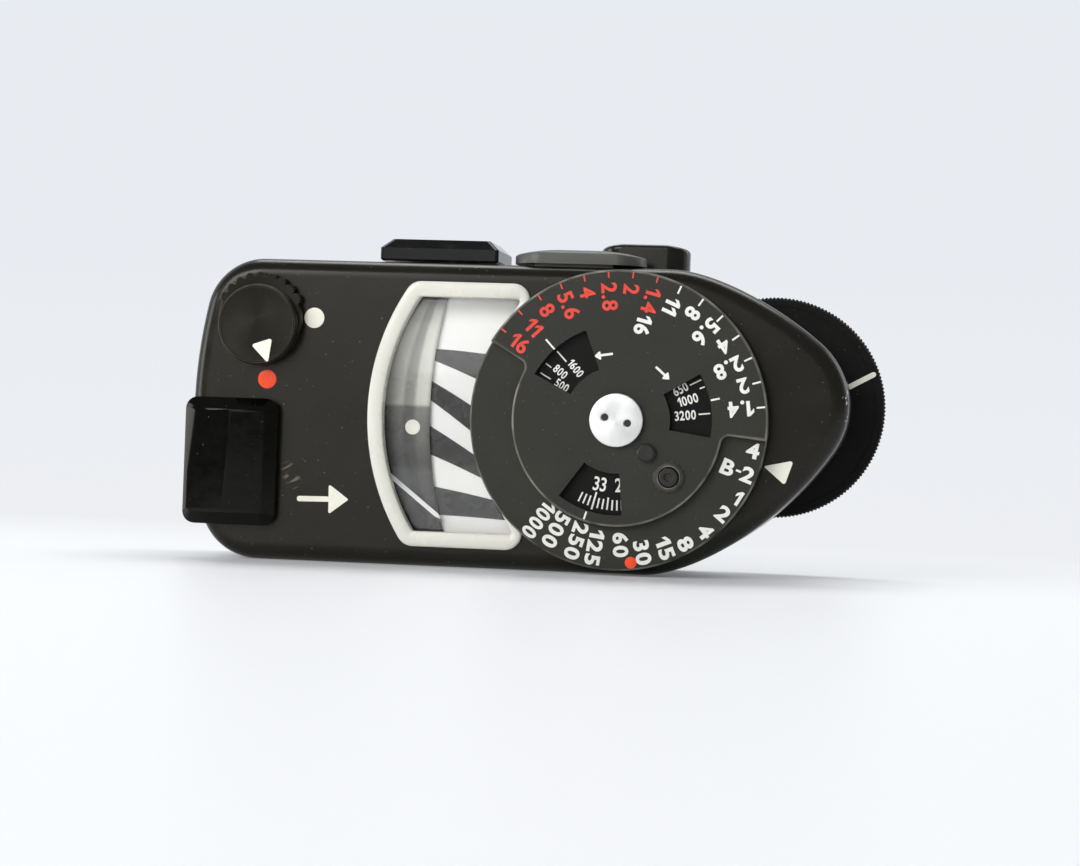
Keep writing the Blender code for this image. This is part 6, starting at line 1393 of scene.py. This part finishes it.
stage = {"floorColour": (0.905, 0.914, 0.93), "skyLow": (0.847, 0.863, 0.896), "skyHigh": (0.807, 0.837, 0.880),
         "front": -1.6, "bend": 0.25, "bendRadius": 0.5, "top": 2.2, "half": 6, "below": 0.00004,
         "fade": (-0.02, 0.10), "skyRise": (0.0, 0.07), "roughness": 0.42, "specular": 0.3}


def makeSweep():
    bend, radius = stage["bend"], stage["bendRadius"]
    path = [(stage["front"], 0)] + [(bend + radius * math.sin(quarter * step / 24),
                                     radius - radius * math.cos(quarter * step / 24)) for step in range(25)]
    path.append((bend + radius, stage["top"]))
    bm = bmesh.new()
    left, right = ([bm.verts.new((x, y, z + cadLow.z - stage["below"])) for y, z in path]
                   for x in (-stage["half"], stage["half"]))
    for index in range(len(path) - 1):
        bm.faces.new((left[index], right[index], right[index + 1], left[index + 1]))
    mesh = bpy.data.meshes.new("sweep")
    bm.to_mesh(mesh)
    bm.free()
    mesh.shade_smooth()
    sweep = newObject("sweep", mesh)
    material, tree, shader = newMaterial("sweep_paper")
    shader.inputs["Roughness"].default_value = stage["roughness"]
    shader.inputs["Specular IOR Level"].default_value = stage["specular"]
    shader.inputs["Base Color"].default_value = (*stage["floorColour"], 1)
    where = addNode(tree, "ShaderNodeTexCoord").outputs["Object"]
    place = addNode(tree, "ShaderNodeSeparateXYZ", {0: where}).outputs
    back = between(tree, place[1], *stage["fade"])
    sky = mixColour(tree, between(tree, place[2], *stage["skyRise"]), stage["skyLow"], stage["skyHigh"])
    glow = addNode(tree, "ShaderNodeEmission", {"Color": sky, "Strength": 1.0})
    rays = addNode(tree, "ShaderNodeLightPath").outputs
    seen = maths(tree, "MAXIMUM", maths(tree, "MAXIMUM", rays["Is Camera Ray"], rays["Is Glossy Ray"]),
                 rays["Is Transmission Ray"])
    blend = addNode(tree, "ShaderNodeMixShader", {0: times(tree, back, seen), 1: shader.outputs[0],
                                                  2: glow.outputs[0]})
    tree.links.new(blend.outputs[0], tree.nodes["Material Output"].inputs["Surface"])
    mesh.materials.append(material)


makeSweep()

# Camera, lamps and world

shot = {"lens": 82.25, "sensor": 36, "distance": 278.94, "across": 9.0586, "up": 1.3836, "yaw": -8.2045,
        "pitch": -0.2244, "roll": -2.1052, "clip": (0.01, 20)}
lamps = [  # name, place, aim, width, height, watts
    ("overhead", (0.02, 0.24, 0.62), (0.0, 0.01, 0.0), 0.60, 0.28, 2.85),
    ("front", (-0.44, -0.64, 0.36), (0.0, 0.0, 0.02), 0.45, 0.3, 3.25),
    ("window", (-0.20, -0.85, 0.33), (-0.02, 0.0, 0.02), 0.34, 0.60, 1.35),
    ("left", (-0.60, -0.12, 0.10), (0.0, 0.0, 0.02), 0.26, 0.26, 1.0),
    ("rim", (0.46, 0.34, 0.26), (0.02, 0.0, 0.02), 0.10, 0.34, 0.40)]
room = {"colour": (0.93, 0.96, 1.0), "strength": 0.27}


def makeCamera():
    roll, pitch, yaw = (Matrix.Rotation(math.radians(shot[key]), 3, axis)
                        for key, axis in (("roll", "Z"), ("pitch", "X"), ("yaw", "Y")))
    turn = roll @ pitch @ yaw
    place = turn.transposed() @ Vector((-shot["across"], -shot["up"], shot["distance"]))
    camera = bpy.data.cameras.new("camera")
    camera.lens = shot["lens"]
    camera.sensor_fit = "HORIZONTAL"
    camera.sensor_width = shot["sensor"]
    camera.clip_start, camera.clip_end = shot["clip"]
    obj = newObject("camera", camera)
    standing = toWorld.to_3x3() * (1 / mm)
    rotation = Matrix([standing @ Vector(row) for row in turn]).transposed().to_4x4()
    obj.matrix_world = Matrix.Translation(toWorld @ (place + Vector((0, 0, case["top"])))) @ rotation
    bpy.context.scene.camera = obj


def makeLamps():
    for name, place, aim, width, height, watts in lamps:
        lamp = bpy.data.lights.new(name, "AREA")
        lamp.shape = "RECTANGLE"
        lamp.size, lamp.size_y, lamp.energy = width, height, watts
        obj = newObject(name, lamp)
        obj.location = place
        obj.rotation_euler = (Vector(aim) - Vector(place)).to_track_quat("-Z", "Y").to_euler()
    world = bpy.context.scene.world or bpy.data.worlds.new("room")
    bpy.context.scene.world = world
    world.use_nodes = True
    back = world.node_tree.nodes["Background"]
    back.inputs["Color"].default_value = (*room["colour"], 1)
    back.inputs["Strength"].default_value = room["strength"]


makeCamera()
makeLamps()
bpy.context.scene.view_settings.view_transform = "Standard"
print("scene ready")
